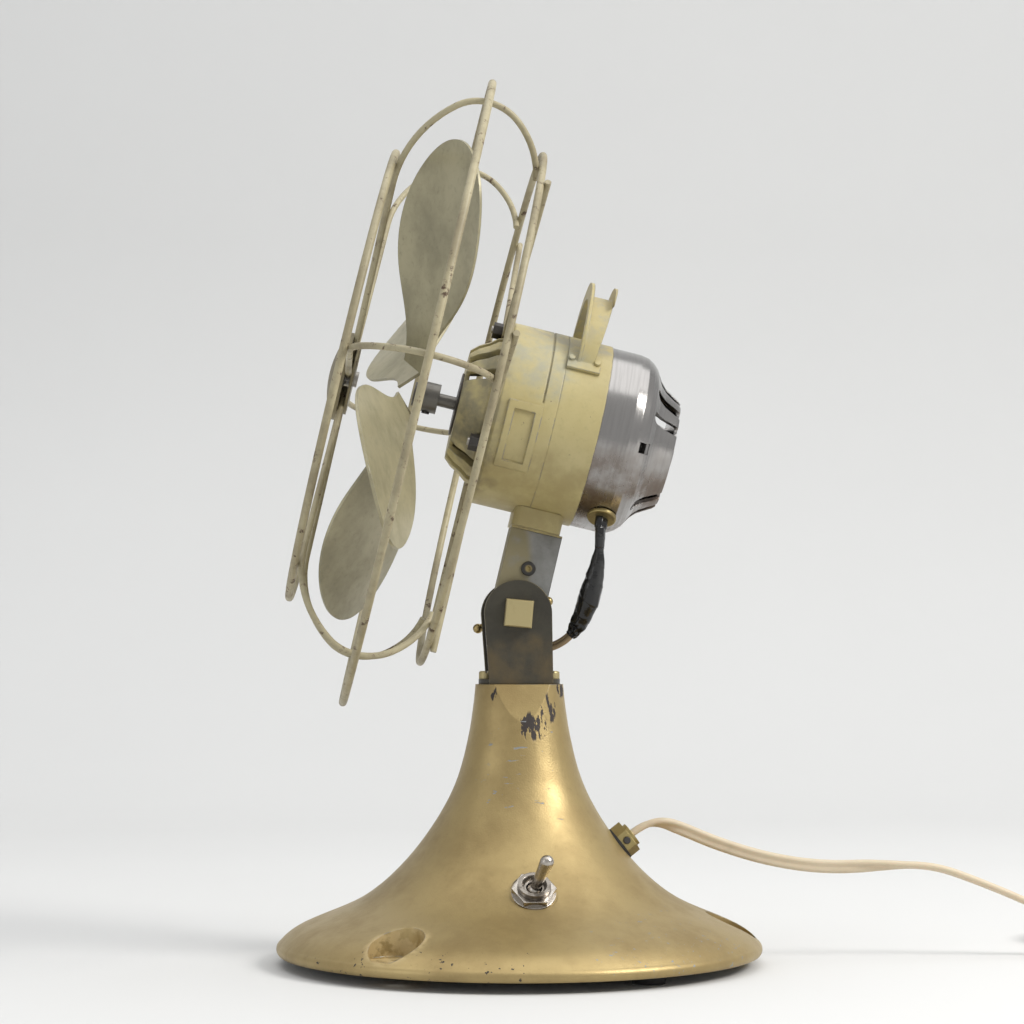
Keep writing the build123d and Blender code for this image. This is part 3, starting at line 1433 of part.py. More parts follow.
cord_exit = gland_seat.offset(-cord_inside).origin
cord_rise = gland_seat.offset(cord_straight).origin
coil_centre_y = coil_outer
coil_top = cord_floor + coil_climb
coil_stub = 2 * cord_radius
cord_route = [
    (cord_exit.X, 0, cord_exit.Z),
    (cord_rise.X, 0, cord_rise.Z),
    (60.2, 0, 52.4),
    (75.2, 0, 43.3),
    (95.1, 0, 37.4),
    (117.0, 0, 34.2),
    (140.2, 0, 35.6),
    (159.5, 0, 35.6),
    (177.0, 0, 28.9),
    (194.7, 0, 21.6),
    (213.0, 0, 13.0),
    (230.0, 0, coil_top),
    (coil_centre_x - coil_stub, 0, coil_top),
]
with BuildPart() as power_cord:
    with BuildLine() as cord_line:
        FilletPolyline(*cord_route, radius=route_radii(cord_route, "power_cord"))
    with BuildSketch(Plane(origin=cord_route[0], z_dir=cord_line.line % 0)):
        Circle(cord_radius)
    sweep(path=cord_line.line)
power_cord.part.label = "power_cord"
export_step(power_cord.part, "parts/power_cord.step")
cord_check("power_cord", power_cord.part, cord_line.wire().length, cord_radius)

# the coil: a spiral in on the top layer, a climb down, a spiral out on the table
coil_spans = [coil_outer - cord_pitch / 2 * turn for turn in range(coil_turns + 1)]
coil_spans += [coil_spans[-1] + cord_pitch / 2 * turn for turn in range(coil_turns)]
coil_heights = [coil_top] * (coil_turns + 1) + [cord_floor] * coil_turns
with BuildPart() as power_cord_coil:
    with BuildLine() as coil_line:
        entry = (coil_centre_x, coil_centre_y - coil_spans[0], coil_heights[0])
        Line((coil_centre_x - coil_stub, entry[1], entry[2]), entry)
        for turn in range(len(coil_spans) - 1):
            side = -1 if turn % 2 == 0 else 1
            start = Vector(coil_centre_x, coil_centre_y + side * coil_spans[turn], coil_heights[turn])
            end = Vector(coil_centre_x, coil_centre_y - side * coil_spans[turn + 1], coil_heights[turn + 1])
            middle = (start + end) / 2
            ThreePointArc(start, middle + Vector(-side * (end - start).length / 2, 0, 0), end)
        last = (coil_centre_x, end.Y, end.Z)
        Line(last, (coil_centre_x + coil_stub, end.Y, end.Z))
    with BuildSketch(Plane(origin=coil_line.line @ 0, z_dir=(1, 0, 0))):
        Circle(cord_radius)
    sweep(path=coil_line.line)
power_cord_coil.part.label = "power_cord_coil"
export_step(power_cord_coil.part, "parts/power_cord_coil.step")
cord_check("power_cord_coil", power_cord_coil.part, coil_line.wire().length, cord_radius)

# the least gap between turns, on points along the coil's line
coil_length = coil_line.wire().length
coil_steps = 900
coil_points = [coil_line.wire().position_at(step / coil_steps) for step in range(coil_steps + 1)]
apart = math.ceil(4 * math.pi * cord_radius / (coil_length / coil_steps))
least = min(
    (coil_points[first] - coil_points[second]).length
    for first in range(0, coil_steps, 3)
    for second in range(first + apart, coil_steps + 1)
)
print("coil least gap", round(least - 2 * cord_radius, 2))

tail_start = (coil_centre_x + coil_stub, last[1], last[2])
tail_route = [
    tail_start,
    (tail_start[0] + 16, tail_start[1], cord_floor),
    (tail_start[0] + 34, tail_start[1] + 9, cord_floor),
    (tail_start[0] + 45, tail_start[1] + 26, cord_floor),
    (tail_start[0] + 49, tail_start[1] + 46, cord_floor + 1.5),
    (tail_start[0] + 48, tail_start[1] + 62, plug_thickness / 2),
    (tail_start[0] + 46, tail_start[1] + 75, plug_thickness / 2),
]
with BuildPart() as power_cord_tail:
    with BuildLine() as tail_line:
        FilletPolyline(*tail_route, radius=route_radii(tail_route, "power_cord_tail"))
    with BuildSketch(Plane(origin=tail_start, z_dir=tail_line.line % 0)):
        Circle(cord_radius)
    sweep(path=tail_line.line)
power_cord_tail.part.label = "power_cord_tail"
export_step(power_cord_tail.part, "parts/power_cord_tail.step")
cord_check("power_cord_tail", power_cord_tail.part, tail_line.wire().length, cord_radius)
print("whole cord", round(cord_line.wire().length + coil_length + tail_line.wire().length))

# the plug lies flat at the cord's end
plug_along = Vector(tail_route[-1]) - Vector(tail_route[-2])
plug_side = plug_along.cross(Vector(0, 0, 1))
plug_start = Plane(origin=tail_route[-1], x_dir=plug_side, z_dir=plug_along)
with BuildPart() as plug_body:
    with BuildSketch(plug_start):
        Circle(plug_collar_radius)
    extrude(amount=plug_collar_length)
    with BuildSketch(plug_start.offset(plug_collar_length)):
        RectangleRounded(plug_neck_width, plug_neck_thickness, plug_round)
    with BuildSketch(plug_start.offset(plug_collar_length + plug_shoulder)):
        RectangleRounded(plug_width, plug_thickness, plug_round)
    loft()
    with BuildSketch(plug_start.offset(plug_collar_length + plug_shoulder)):
        RectangleRounded(plug_width, plug_thickness, plug_round)
    extrude(amount=plug_length - plug_shoulder)
    with BuildSketch(plug_start.offset(plug_collar_length + plug_length)):
        with GridLocations(pin_spacing, 0, 2, 1):
            Rectangle(pin_thickness + 2 * screw_gap, pin_width + 2 * screw_gap)
    extrude(amount=-pin_root, mode=Mode.SUBTRACT)
plug_body.part.label = "plug_body"
export_step(plug_body.part, "parts/plug_body.step")

with BuildPart() as plug_pins:
    with BuildSketch(plug_start.offset(plug_collar_length + plug_length - pin_root)):
        with GridLocations(pin_spacing, 0, 2, 1):
            Rectangle(pin_thickness, pin_width)
    extrude(amount=pin_root + pin_length)
plug_pins.part.label = "plug_pins"
export_step(plug_pins.part, "parts/plug_pins.step")

# ------------------------------------------------------------------ the motor's lead and its taped splice
lead_in = lead_exit.offset(-cap_wall - 2).origin
lead_drop = lead_exit.offset(lead_straight).origin
lead_route = [
    (lead_in.X, lead_in.Y, lead_in.Z),
    (lead_drop.X, lead_drop.Y, lead_drop.Z),
    (28.9, -18.5, 155.1),
    (27.6, -15.0, 145.8),
    (26.0, -11.5, 137.6),
    (23.8, -7.5, 130.8),
    (20.3, -4.0, 124.0),
    (15.0, -1.4, 119.6),
    (8.0, 0, 117.6),
    (2.4, 0, 112.6),
    (0.3, 0, 105.0),
    (0, 0, 97.5),
]
with BuildPart() as motor_lead:
    with BuildLine() as lead_line:
        FilletPolyline(*lead_route, radius=route_radii(lead_route, "motor_lead"))
    with BuildSketch(Plane(origin=lead_route[0], z_dir=lead_line.line % 0)):
        Circle(lead_radius)
    sweep(path=lead_line.line)
motor_lead.part.label = "motor_lead"
export_step(motor_lead.part, "parts/motor_lead.step")
cord_check("motor_lead", motor_lead.part, lead_line.wire().length, lead_radius)


lead_wire = lead_line.wire()


def lead_place(height):
    """Plane square to the lead where it passes a height."""
    low = 0.0
    high = 1.0
    for _ in range(30):
        middle = (low + high) / 2
        if lead_wire.position_at(middle).Z > height:
            low = middle
        else:
            high = middle
    return Plane(origin=lead_wire.position_at(middle), z_dir=lead_wire.tangent_at(middle))


with BuildPart() as lead_splice:
    for height, radius in splice_steps:
        with BuildSketch(lead_place(height)):
            Circle(radius)
    loft(ruled=True)
    add(motor_lead.part, mode=Mode.SUBTRACT)
lead_splice.part.label = "lead_splice"
export_step(lead_splice.part, "parts/lead_splice.step")
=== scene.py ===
"""The looks of the vintage desk fan: worn gold base, cream motor and cage, flat cord, taped lead.

Metres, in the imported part's frame: the origin is on the table at the base's axis, +Z is up, the fan faces -X.
"""

import math

import bpy
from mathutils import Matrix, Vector, noise


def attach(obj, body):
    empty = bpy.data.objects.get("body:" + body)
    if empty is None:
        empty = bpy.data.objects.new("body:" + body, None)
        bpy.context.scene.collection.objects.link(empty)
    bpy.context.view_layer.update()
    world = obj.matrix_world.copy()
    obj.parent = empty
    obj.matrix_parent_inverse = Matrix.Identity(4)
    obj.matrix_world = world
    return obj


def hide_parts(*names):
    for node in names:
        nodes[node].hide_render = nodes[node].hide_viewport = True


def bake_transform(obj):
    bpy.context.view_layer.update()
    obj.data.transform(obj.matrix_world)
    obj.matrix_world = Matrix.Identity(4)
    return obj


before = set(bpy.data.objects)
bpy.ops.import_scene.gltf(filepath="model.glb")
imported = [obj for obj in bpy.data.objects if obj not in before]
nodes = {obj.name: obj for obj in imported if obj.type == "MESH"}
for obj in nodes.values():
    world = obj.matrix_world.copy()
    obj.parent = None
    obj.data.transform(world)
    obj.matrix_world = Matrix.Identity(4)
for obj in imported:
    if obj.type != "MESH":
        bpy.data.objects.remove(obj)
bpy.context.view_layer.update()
scene = bpy.context.scene
scene.view_settings.view_transform = "Standard"

TILT = math.radians(13.3)
HEAD_UP = Vector((math.sin(TILT), 0, math.cos(TILT)))
HEAD_REAR = Vector((math.cos(TILT), 0, -math.sin(TILT)))
NEAR = Vector((0, -1, 0))
MOTOR = Vector((0.015571, 0, 0.202145))
SWITCH = Vector((0.001143, -0.05036, 0.030222))
SWITCH_OUT = Vector((0.014837, -0.6538, 0.756522))

# ------------------------------------------------------------------ camera
camera_data = bpy.data.cameras.new("camera")
camera_data.lens = 82.92
camera_data.sensor_width = 36
camera = bpy.data.objects.new("camera", camera_data)
scene.collection.objects.link(camera)
camera.location = (-0.07061, -0.89723, 0.1125)
camera.rotation_euler = (math.radians(93.67), 0, math.radians(-4.324))
scene.camera = camera

# ------------------------------------------------------------------ cord: route, flat twin section
CORD_ROUTE = [
    (0.036914, 0, 0.043076), (0.0445, 0, 0.0498), (0.0530, 0, 0.0528), (0.0625, 0, 0.0495),
    (0.0752, 0, 0.0440),
    (0.0951, 0, 0.0378), (0.1170, 0, 0.0345), (0.1402, 0, 0.0354), (0.1595, 0, 0.0352), (0.1770, 0, 0.0289),
    (0.1947, 0, 0.0216), (0.2130, 0, 0.0130), (0.2300, 0, 0.0082), (0.2480, 0, 0.0082),
]
COIL_CENTRE = (0.252, 0.0392)
COIL_REACH = 0.0392
COIL_STEP = 0.00255          # change of radius in half a turn
COIL_LAYER = 8               # half turns in each layer
COIL_HIGH = 0.0082
COIL_LOW = 0.0026
POINTS_PER_TURN = 24
# the free end, from the coil to the plug
TAIL_ROUTE = [
    (0.256, 0.00255, 0.0027), (0.272, 0.00255, 0.0028), (0.290, 0.01155, 0.0027), (0.301, 0.02855, 0.0020),
    (0.305, 0.04855, 0.0030), (0.304, 0.06455, 0.0065), (0.302, 0.07755, 0.0065),
]
CORD_WIDTH = 0.0052
CORD_THICK = 0.0026
TAIL_LENGTH = 0.105
LEAD_WIDTH = 0.0034
LEAD_THICK = 0.0022
TAPE_STEP = 0.0003           # between the rings of the tape
TAPE_SIDES = 48
CORE_SIDES = 9               # points round each core of a twin cord
LEAD_ROUTE = [
    (0.030353, -0.0159, 0.170352), (0.028719, -0.020, 0.16344), (0.0289, -0.0185, 0.1551),
    (0.0276, -0.015, 0.1458),
    (0.0260, -0.0115, 0.1376), (0.0238, -0.0075, 0.1308), (0.0203, -0.004, 0.1240), (0.015, -0.0014, 0.1196),
    (0.0080, 0, 0.1176), (0.0024, 0, 0.1126), (0.0003, 0, 0.1050), (0, 0, 0.0975),
]


def coil_points():
    """A spiral in on the top layer, a climb down, and a spiral out on the table."""
    points = []
    grow = 2 / (1 + math.cos(math.pi / POINTS_PER_TURN))
    steps = COIL_LAYER * 2 * POINTS_PER_TURN // 2
    for step in range(1, steps):
        half_turns = step * 2 / POINTS_PER_TURN
        inward = min(half_turns, COIL_LAYER)
        outward = max(half_turns - COIL_LAYER - 1, 0)
        radius = (COIL_REACH - COIL_STEP * (inward - outward)) * grow
        drop = min(max(half_turns - COIL_LAYER, 0), 1)
        drop = drop * drop * (3 - 2 * drop)
        angle = math.pi * half_turns - math.pi / 2
        points.append((
            COIL_CENTRE[0] + radius * math.cos(angle),
            COIL_CENTRE[1] + radius * math.sin(angle),
            COIL_HIGH + (COIL_LOW - COIL_HIGH) * drop,
        ))
    return points


def smooth_line(points):
    """The points of a NURBS spline through a route's control points."""
    curve = bpy.data.curves.new("route", "CURVE")
    curve.dimensions = "3D"
    spline = curve.splines.new("NURBS")
    spline.points.add(len(points) - 1)
    for control, place in zip(spline.points, points):
        control.co = (*place, 1)
    spline.order_u = 3
    spline.use_endpoint_u = True
    spline.resolution_u = 6
    carrier = bpy.data.objects.new("route", curve)
    mesh = bpy.data.meshes.new_from_object(carrier)
    line = [v.co.copy() for v in mesh.vertices]
    bpy.data.objects.remove(carrier)
    return line


def distances(line):
    """Length along a line up to each of its points."""
    run = [0.0]
    for before, after in zip(line, line[1:]):
        run.append(run[-1] + (after - before).length)
    return run


def between(table, x):
    """Value at x in a table of (place, value), with smooth steps."""
    if x <= table[0][0]:
        return table[0][1]
    for (x0, y0), (x1, y1) in zip(table, table[1:]):
        if x <= x1:
            t = (x - x0) / (x1 - x0)
            return y0 + (y1 - y0) * t * t * (3 - 2 * t)
    return table[-1][1]


def make_mesh(name, verts, faces):
    mesh = bpy.data.meshes.new(name)
    mesh.from_pydata([tuple(v) for v in verts], [], faces)
    mesh.update()
    mesh.shade_smooth()
    piece = bpy.data.objects.new(name, mesh)
    scene.collection.objects.link(piece)
    return piece


def tube(name, line, section, turn):
    """Rings of section(distance, place) along a line; turn(distance) is degrees from flat to upright."""
    run = distances(line)
    verts, faces = [], []
    for i, place in enumerate(line):
        tangent = (line[min(i + 1, len(line) - 1)] - line[max(i - 1, 0)]).normalized()
        side = tangent.cross(Vector((0, 0, 1)))
        if side.length < 0.25:
            side = tangent.cross(Vector((0, -1, 0)))
        side.normalize()
        upright = side.cross(tangent)
        angle = math.radians(turn(run[i]))
        wide = side * math.cos(angle) + upright * math.sin(angle)
        thick = tangent.cross(wide)
        ring = section(run[i], place)
        for a, b in ring:
            verts.append(place + wide * a + thick * b)
        count = len(ring)
        if i:
            low = (i - 1) * count
            for k in range(count):
                j = (k + 1) % count
                faces.append((low + k, low + j, low + count + j, low + count + k))
    last = len(verts) - count
    faces.append(tuple(range(count))[::-1])
    faces.append(tuple(range(last, last + count)))
    return make_mesh(name, verts, faces)


def twin(width, thick):
    """Two round cores side by side with a groove between them."""
    radius = thick / 2
    centre = width / 2 - radius
    ring = []
    for k in range(CORE_SIDES):
        a = math.radians(-130 + 260 * k / (CORE_SIDES - 1))
        ring.append((centre + radius * math.cos(a), radius * math.sin(a)))
    for k in range(CORE_SIDES):
        a = math.radians(50 + 260 * k / (CORE_SIDES - 1))
        ring.append((-centre + radius * math.cos(a), radius * math.sin(a)))
    return ring


cord_line = smooth_line(CORD_ROUTE + coil_points() + TAIL_ROUTE)
cord_length = distances(cord_line)[-1]
cord_ring = twin(CORD_WIDTH, CORD_THICK)
tail_from = cord_length - TAIL_LENGTH
cord_turn = [
    (0.012, 0), (0.030, 80), (0.092, 84), (0.120, 12), (0.175, 6), (0.215, 40), (0.232, 90),
    (tail_from, 90), (tail_from + 0.030, 0),
]
cord = tube("cord", cord_line, lambda d, p: cord_ring, lambda d: between(cord_turn, d))
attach(cord, "base")
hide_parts("power_cord", "power_cord_coil", "power_cord_tail")

# ------------------------------------------------------------------ motor lead and its taped splice
lead_line = smooth_line(LEAD_ROUTE)
lead_ring = twin(LEAD_WIDTH, LEAD_THICK)
lead = tube("lead", lead_line, lambda d, p: lead_ring, lambda d: 70)
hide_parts("motor_lead")
SPLICE = [
    (0.1232, 0.0021), (0.1250, 0.0028), (0.1282, 0.0038), (0.1320, 0.0044), (0.1362, 0.0050),
    (0.1405, 0.0048),
    (0.1445, 0.0041), (0.1500, 0.0032), (0.1555, 0.0022), (0.1610, 0.0024), (0.1660, 0.0027),
    (0.1682, 0.0028),
]
fine_lead = []
for before, after in zip(lead_line, lead_line[1:]):
    steps = max(1, math.ceil((after - before).length / TAPE_STEP))
    fine_lead += [before.lerp(after, k / steps) for k in range(steps)]
splice_line = [p for p in fine_lead if SPLICE[0][0] < p.z < SPLICE[-1][0]]


def tape_ring(distance, place):
    """Wound tape: a flattened form with stretched folds along it and a ragged lower end."""
    radius = between(SPLICE, place.z)
    torn = max(0.0, min(1.0, (0.1300 - place.z) / 0.006))
    ring = []
    for k in range(TAPE_SIDES):
        angle = math.tau * k / TAPE_SIDES
        lap = ((distance / 0.0075 + k / TAPE_SIDES) % 1.0) ** 3
        fold = noise.noise(Vector((math.cos(angle) * 1.7, math.sin(angle) * 1.7, distance * 90)))
        lump = noise.noise(Vector((math.cos(angle) * 0.8, math.sin(angle) * 0.8, distance * 70 + 7)))
        rag = noise.noise(Vector((math.cos(angle) * 2.6, math.sin(angle) * 2.6, distance * 500)))
        r = radius * (0.95 + 0.05 * lap + 0.10 * fold + 0.08 * lump + 0.32 * torn * rag)
        ring.append((r * 1.10 * math.cos(angle), r * 0.84 * math.sin(angle)))
    return ring


splice = tube("splice", splice_line, tape_ring, lambda d: 70)
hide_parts("lead_splice")

# ------------------------------------------------------------------ materials
class Look:
    """One procedural material, built from the frame's coordinates."""

    def __init__(self, name):
        self.material = bpy.data.materials.new(name)
        self.material.use_nodes = True
        self.tree = self.material.node_tree
        self.shader = self.tree.nodes["Principled BSDF"]
        self.place = self.add("ShaderNodeTexCoord").outputs["Object"]

    def add(self, kind, **values):
        node = self.tree.nodes.new(kind)
        for key, value in values.items():
            setattr(node, key, value)
        return node

    def link(self, source, target):
        if isinstance(source, (int, float)):
            target.default_value = source
        elif isinstance(source, tuple):
            target.default_value = (*source, 1) if len(source) == 3 else source
        else:
            self.tree.links.new(source, target)

    def math(self, kind, a, b=0.0, clamp=False):
        node = self.add("ShaderNodeMath", operation=kind, use_clamp=clamp)
        self.link(a, node.inputs[0])
        self.link(b, node.inputs[1])
        return node.outputs[0]

    def noise(self, scale, detail=4.0, rough=0.55, stretch=None, seed=0.0, turn=(0, 0, 0)):
        node = self.add("ShaderNodeTexNoise", noise_dimensions="4D")
        place = self.place
        if stretch is not None:
            mapping = self.add("ShaderNodeMapping")
            mapping.inputs["Scale"].default_value = stretch
            mapping.inputs["Rotation"].default_value = [math.radians(t) for t in turn]
            self.tree.links.new(place, mapping.inputs["Vector"])
            place = mapping.outputs[0]
        self.tree.links.new(place, node.inputs["Vector"])
        node.inputs["W"].default_value = seed
        node.inputs["Scale"].default_value = scale
        node.inputs["Detail"].default_value = detail
        node.inputs["Roughness"].default_value = rough
        return node.outputs["Fac"]

    def step(self, value, low, high):
        node = self.add("ShaderNodeMapRange", interpolation_type="SMOOTHSTEP")
        self.link(value, node.inputs["Value"])
        node.inputs["From Min"].default_value = low
        node.inputs["From Max"].default_value = high
        return node.outputs["Result"]

    def mix(self, share, a, b):
        node = self.add("ShaderNodeMix", data_type="RGBA")
        self.link(share, node.inputs["Factor"])
        self.link(a, node.inputs["A"])
        self.link(b, node.inputs["B"])
        return node.outputs["Result"]

    def blend(self, share, a, b):
        node = self.add("ShaderNodeMix", data_type="FLOAT")
        self.link(share, node.inputs[0])
        self.link(a, node.inputs[2])
        self.link(b, node.inputs[3])
        return node.outputs[0]

    def near_point(self, centre, radius, stretch=(1, 1, 1)):
        """1 at a place on the object, falling to 0 at a radius round it."""
        offset = self.add("ShaderNodeVectorMath", operation="SUBTRACT")
        self.tree.links.new(self.place, offset.inputs[0])
        offset.inputs[1].default_value = centre
        scale = self.add("ShaderNodeVectorMath", operation="MULTIPLY")
        self.tree.links.new(offset.outputs[0], scale.inputs[0])
        scale.inputs[1].default_value = stretch
        length = self.add("ShaderNodeVectorMath", operation="LENGTH")
        self.tree.links.new(scale.outputs[0], length.inputs[0])
        return self.step(length.outputs["Value"], radius, radius * 0.35)

    def along(self, direction, origin=(0, 0, 0)):
        """Distance along a direction from an origin."""
        offset = self.add("ShaderNodeVectorMath", operation="SUBTRACT")
        self.tree.links.new(self.place, offset.inputs[0])
        offset.inputs[1].default_value = origin
        dot = self.add("ShaderNodeVectorMath", operation="DOT_PRODUCT")
        self.tree.links.new(offset.outputs[0], dot.inputs[0])
        dot.inputs[1].default_value = direction
        return dot.outputs["Value"]

    def edge(self, radius=0.0006):
        """High along hard edges, from how far a rounded normal turns away from the true one."""
        bevel = self.add("ShaderNodeBevel", samples=4)
        bevel.inputs["Radius"].default_value = radius
        flat = self.add("ShaderNodeNewGeometry").outputs["Normal"]
        dot = self.add("ShaderNodeVectorMath", operation="DOT_PRODUCT")
        self.tree.links.new(bevel.outputs[0], dot.inputs[0])
        self.tree.links.new(flat, dot.inputs[1])
        self.round_normal = bevel.outputs[0]
        return self.step(dot.outputs["Value"], 0.985, 0.86)

    def bump(self, height, strength, distance=0.001, normal=None):
        node = self.add("ShaderNodeBump")
        node.inputs["Strength"].default_value = strength
        node.inputs["Distance"].default_value = distance
        self.link(height, node.inputs["Height"])
        if normal is not None:
            self.tree.links.new(normal, node.inputs["Normal"])
        return node.outputs[0]

    def finish(self, colour, rough, metal=0.0, normal=None, **fixed):
        self.link(colour, self.shader.inputs["Base Color"])
        self.link(rough, self.shader.inputs["Roughness"])
        self.link(metal, self.shader.inputs["Metallic"])
        if normal is not None:
            self.link(normal, self.shader.inputs["Normal"])
        for key, value in fixed.items():
            self.shader.inputs[key.replace("_", " ")].default_value = value
        return self.material


def worn_paint(name, paint, shade, bare, grime=0.5, bare_amount=0.55, metal=0.0, rough=0.42, grain=900.0,
               grain_depth=0.12, edge_radius=0.0006, rust=None, rust_amount=0.6, rust_scale=95, spots=(),
               seed=0.0):
    """Aged paint: mottled colour, grime, bare metal at edges and rubs, rust, and chips at given spots; on the
    motor one spot is painted shade.
    """
    look = Look(name)
    mottle = look.step(look.noise(38, 5, 0.62, seed=seed), 0.36, 0.70)
    colour = look.mix(mottle, paint, shade)
    fine = look.step(look.noise(420, 3, 0.7, seed=seed + 3), 0.50, 0.78)
    colour = look.mix(look.math("MULTIPLY", fine, 0.35 * grime), colour, tuple(0.45 * c for c in shade))
    stain = look.step(look.noise(13, 6, 0.6, seed=seed + 5), 0.55, 0.75)
    colour = look.mix(look.math("MULTIPLY", stain, 0.45 * grime), colour, tuple(0.62 * c for c in shade))
    wear = look.noise(150, 6, 0.68, seed=seed + 8)
    edge = look.edge(edge_radius)
    worn = look.math("ADD", wear, look.math("MULTIPLY", edge, 0.32))
    rubbed = look.step(worn, bare_amount + 0.10, bare_amount + 0.15)
    colour = look.mix(rubbed, colour, bare)
    roughness = look.blend(mottle, rough, rough + 0.12)
    roughness = look.blend(rubbed, roughness, 0.38)
    metallic = look.blend(rubbed, metal, 0.85)
    height = look.math("MULTIPLY", rubbed, -0.5)
    if rust is not None:
        rusting = look.math("ADD", look.noise(rust_scale, 7, 0.7, seed=seed + 11),
                            look.math("MULTIPLY", edge, 0.12))
        patch = look.step(rusting, rust_amount, rust_amount + 0.09)
        rust_colour = look.mix(look.noise(600, 3, 0.6, seed=seed + 12), rust, tuple(0.45 * c for c in rust))
        colour = look.mix(patch, colour, rust_colour)
        roughness = look.blend(patch, roughness, 0.85)
        metallic = look.blend(patch, metallic, 0.0)
    # marks at given spots: chips, primer and lighter gold, and under the motor a patch of painted shade
    for centre, radius, stretch, (cut, soft, share), chip_and_shade_colour, (scale, smear, turn) in spots:
        place = look.near_point(centre, radius, stretch)
        chip_and_shade_noise = look.noise(scale, 4, 0.6, stretch=smear, seed=seed + 20 + centre[2] * 100, turn=turn)
        chip_and_shade_noise = look.math("ADD", chip_and_shade_noise, look.math("MULTIPLY", place, 0.10))
        chip_and_shade = look.math("MULTIPLY", look.step(place, 0.02, 0.5), look.step(chip_and_shade_noise, cut, cut + soft))
        chip_and_shade = look.math("MULTIPLY", chip_and_shade, share)
        colour = look.mix(chip_and_shade, colour, chip_and_shade_colour)
        roughness = look.blend(chip_and_shade, roughness, 0.60)
        metallic = look.blend(chip_and_shade, metallic, 0.1)
        height = look.math("SUBTRACT", height, look.math("MULTIPLY", chip_and_shade, 0.02 / soft, clamp=True))
    grained = look.bump(look.noise(grain, 2, 0.5, seed=seed + 15), grain_depth, 0.0004, look.round_normal)
    normal = look.bump(height, 0.35, 0.0003, grained)
    return look.finish(colour, roughness, metallic, normal)


def bare_metal(name, tint, dull, rough, tarnish=0.5, metal=1.0, scratch=0.06, seed=0.0):
    """Metal without paint: tarnish in patches, fine scratches, softened edges."""
    look = Look(name)
    patch = look.step(look.noise(110, 6, 0.65, seed=seed), 0.62 - 0.25 * tarnish, 0.78)
    colour = look.mix(patch, tint, dull)
    lines = look.noise(900, 3, 0.6, seed=seed + 2)
    edge = look.edge(0.0004)
    colour = look.mix(look.math("MULTIPLY", edge, 0.5), colour, tuple(min(1.0, 1.25 * c) for c in tint))
    roughness = look.blend(patch, rough, min(0.9, rough + 0.28))
    uneven = look.math("MULTIPLY", look.math("SUBTRACT", lines, 0.5), 0.35)
    roughness = look.math("ADD", roughness, uneven, clamp=True)
    normal = look.bump(lines, scratch, 0.0003, look.round_normal)
    return look.finish(colour, roughness, metal, normal)


def turned_metal(name, tint, dull, rough):
    """Metal polished on a lathe about the motor's axis, streaked and tarnished; the dull brown patches lie only
    on its lower half, where they are part tarnish and part painted shade.
    """
    look = Look(name)
    depth = look.along(tuple(HEAD_REAR), tuple(MOTOR))
    up = look.along(tuple(HEAD_UP), tuple(MOTOR))
    side = look.along((0, -1, 0), tuple(MOTOR))
    angle = look.math("ARCTAN2", side, up)
    combine = look.add("ShaderNodeCombineXYZ")
    look.link(look.math("MULTIPLY", depth, 900), combine.inputs[0])
    look.link(look.math("MULTIPLY", angle, 1.2), combine.inputs[1])
    lines = look.add("ShaderNodeTexNoise")
    look.link(combine.outputs[0], lines.inputs["Vector"])
    lines.inputs["Scale"].default_value = 1.0
    lines.inputs["Detail"].default_value = 5.0
    streak = look.step(lines.outputs["Fac"], 0.40, 0.72)
    patch = look.step(look.noise(42, 6, 0.60, seed=4), 0.38, 0.58)
    colour = look.mix(look.math("MULTIPLY", streak, 0.30), tint, tuple(0.55 * c for c in tint))
    # dull brown patches only on the lower half: tarnish, and painted shade on the underside
    low = look.math("MULTIPLY", patch, look.step(up, 0.004, -0.020))
    colour = look.mix(look.math("MULTIPLY", low, 0.85), colour, dull)
    look.edge(0.0005)
    roughness = look.blend(low, rough, rough + 0.15)
    roughness = look.math("ADD", roughness, look.math("MULTIPLY", streak, 0.06), clamp=True)
    normal = look.bump(lines.outputs["Fac"], 0.035, 0.0003, look.round_normal)
    return look.finish(colour, roughness, 1.0, normal)


def moulded(name, tint, dirt, rough=0.45, grain=500.0, depth=0.08, amount=0.5, seed=0.0, **fixed):
    """Plastic, rubber or fibre with a fine grain and handling dirt."""
    look = Look(name)
    soil = look.step(look.noise(70, 5, 0.6, seed=seed), 0.60 - 0.2 * amount, 0.78)
    colour = look.mix(look.math("MULTIPLY", soil, amount), tint, dirt)
    look.edge(0.0004)
    roughness = look.blend(soil, rough, rough + 0.15)
    normal = look.bump(look.noise(grain, 3, 0.6, seed=seed + 1), depth, 0.0003, look.round_normal)
    return look.finish(colour, roughness, 0.0, normal, **fixed)


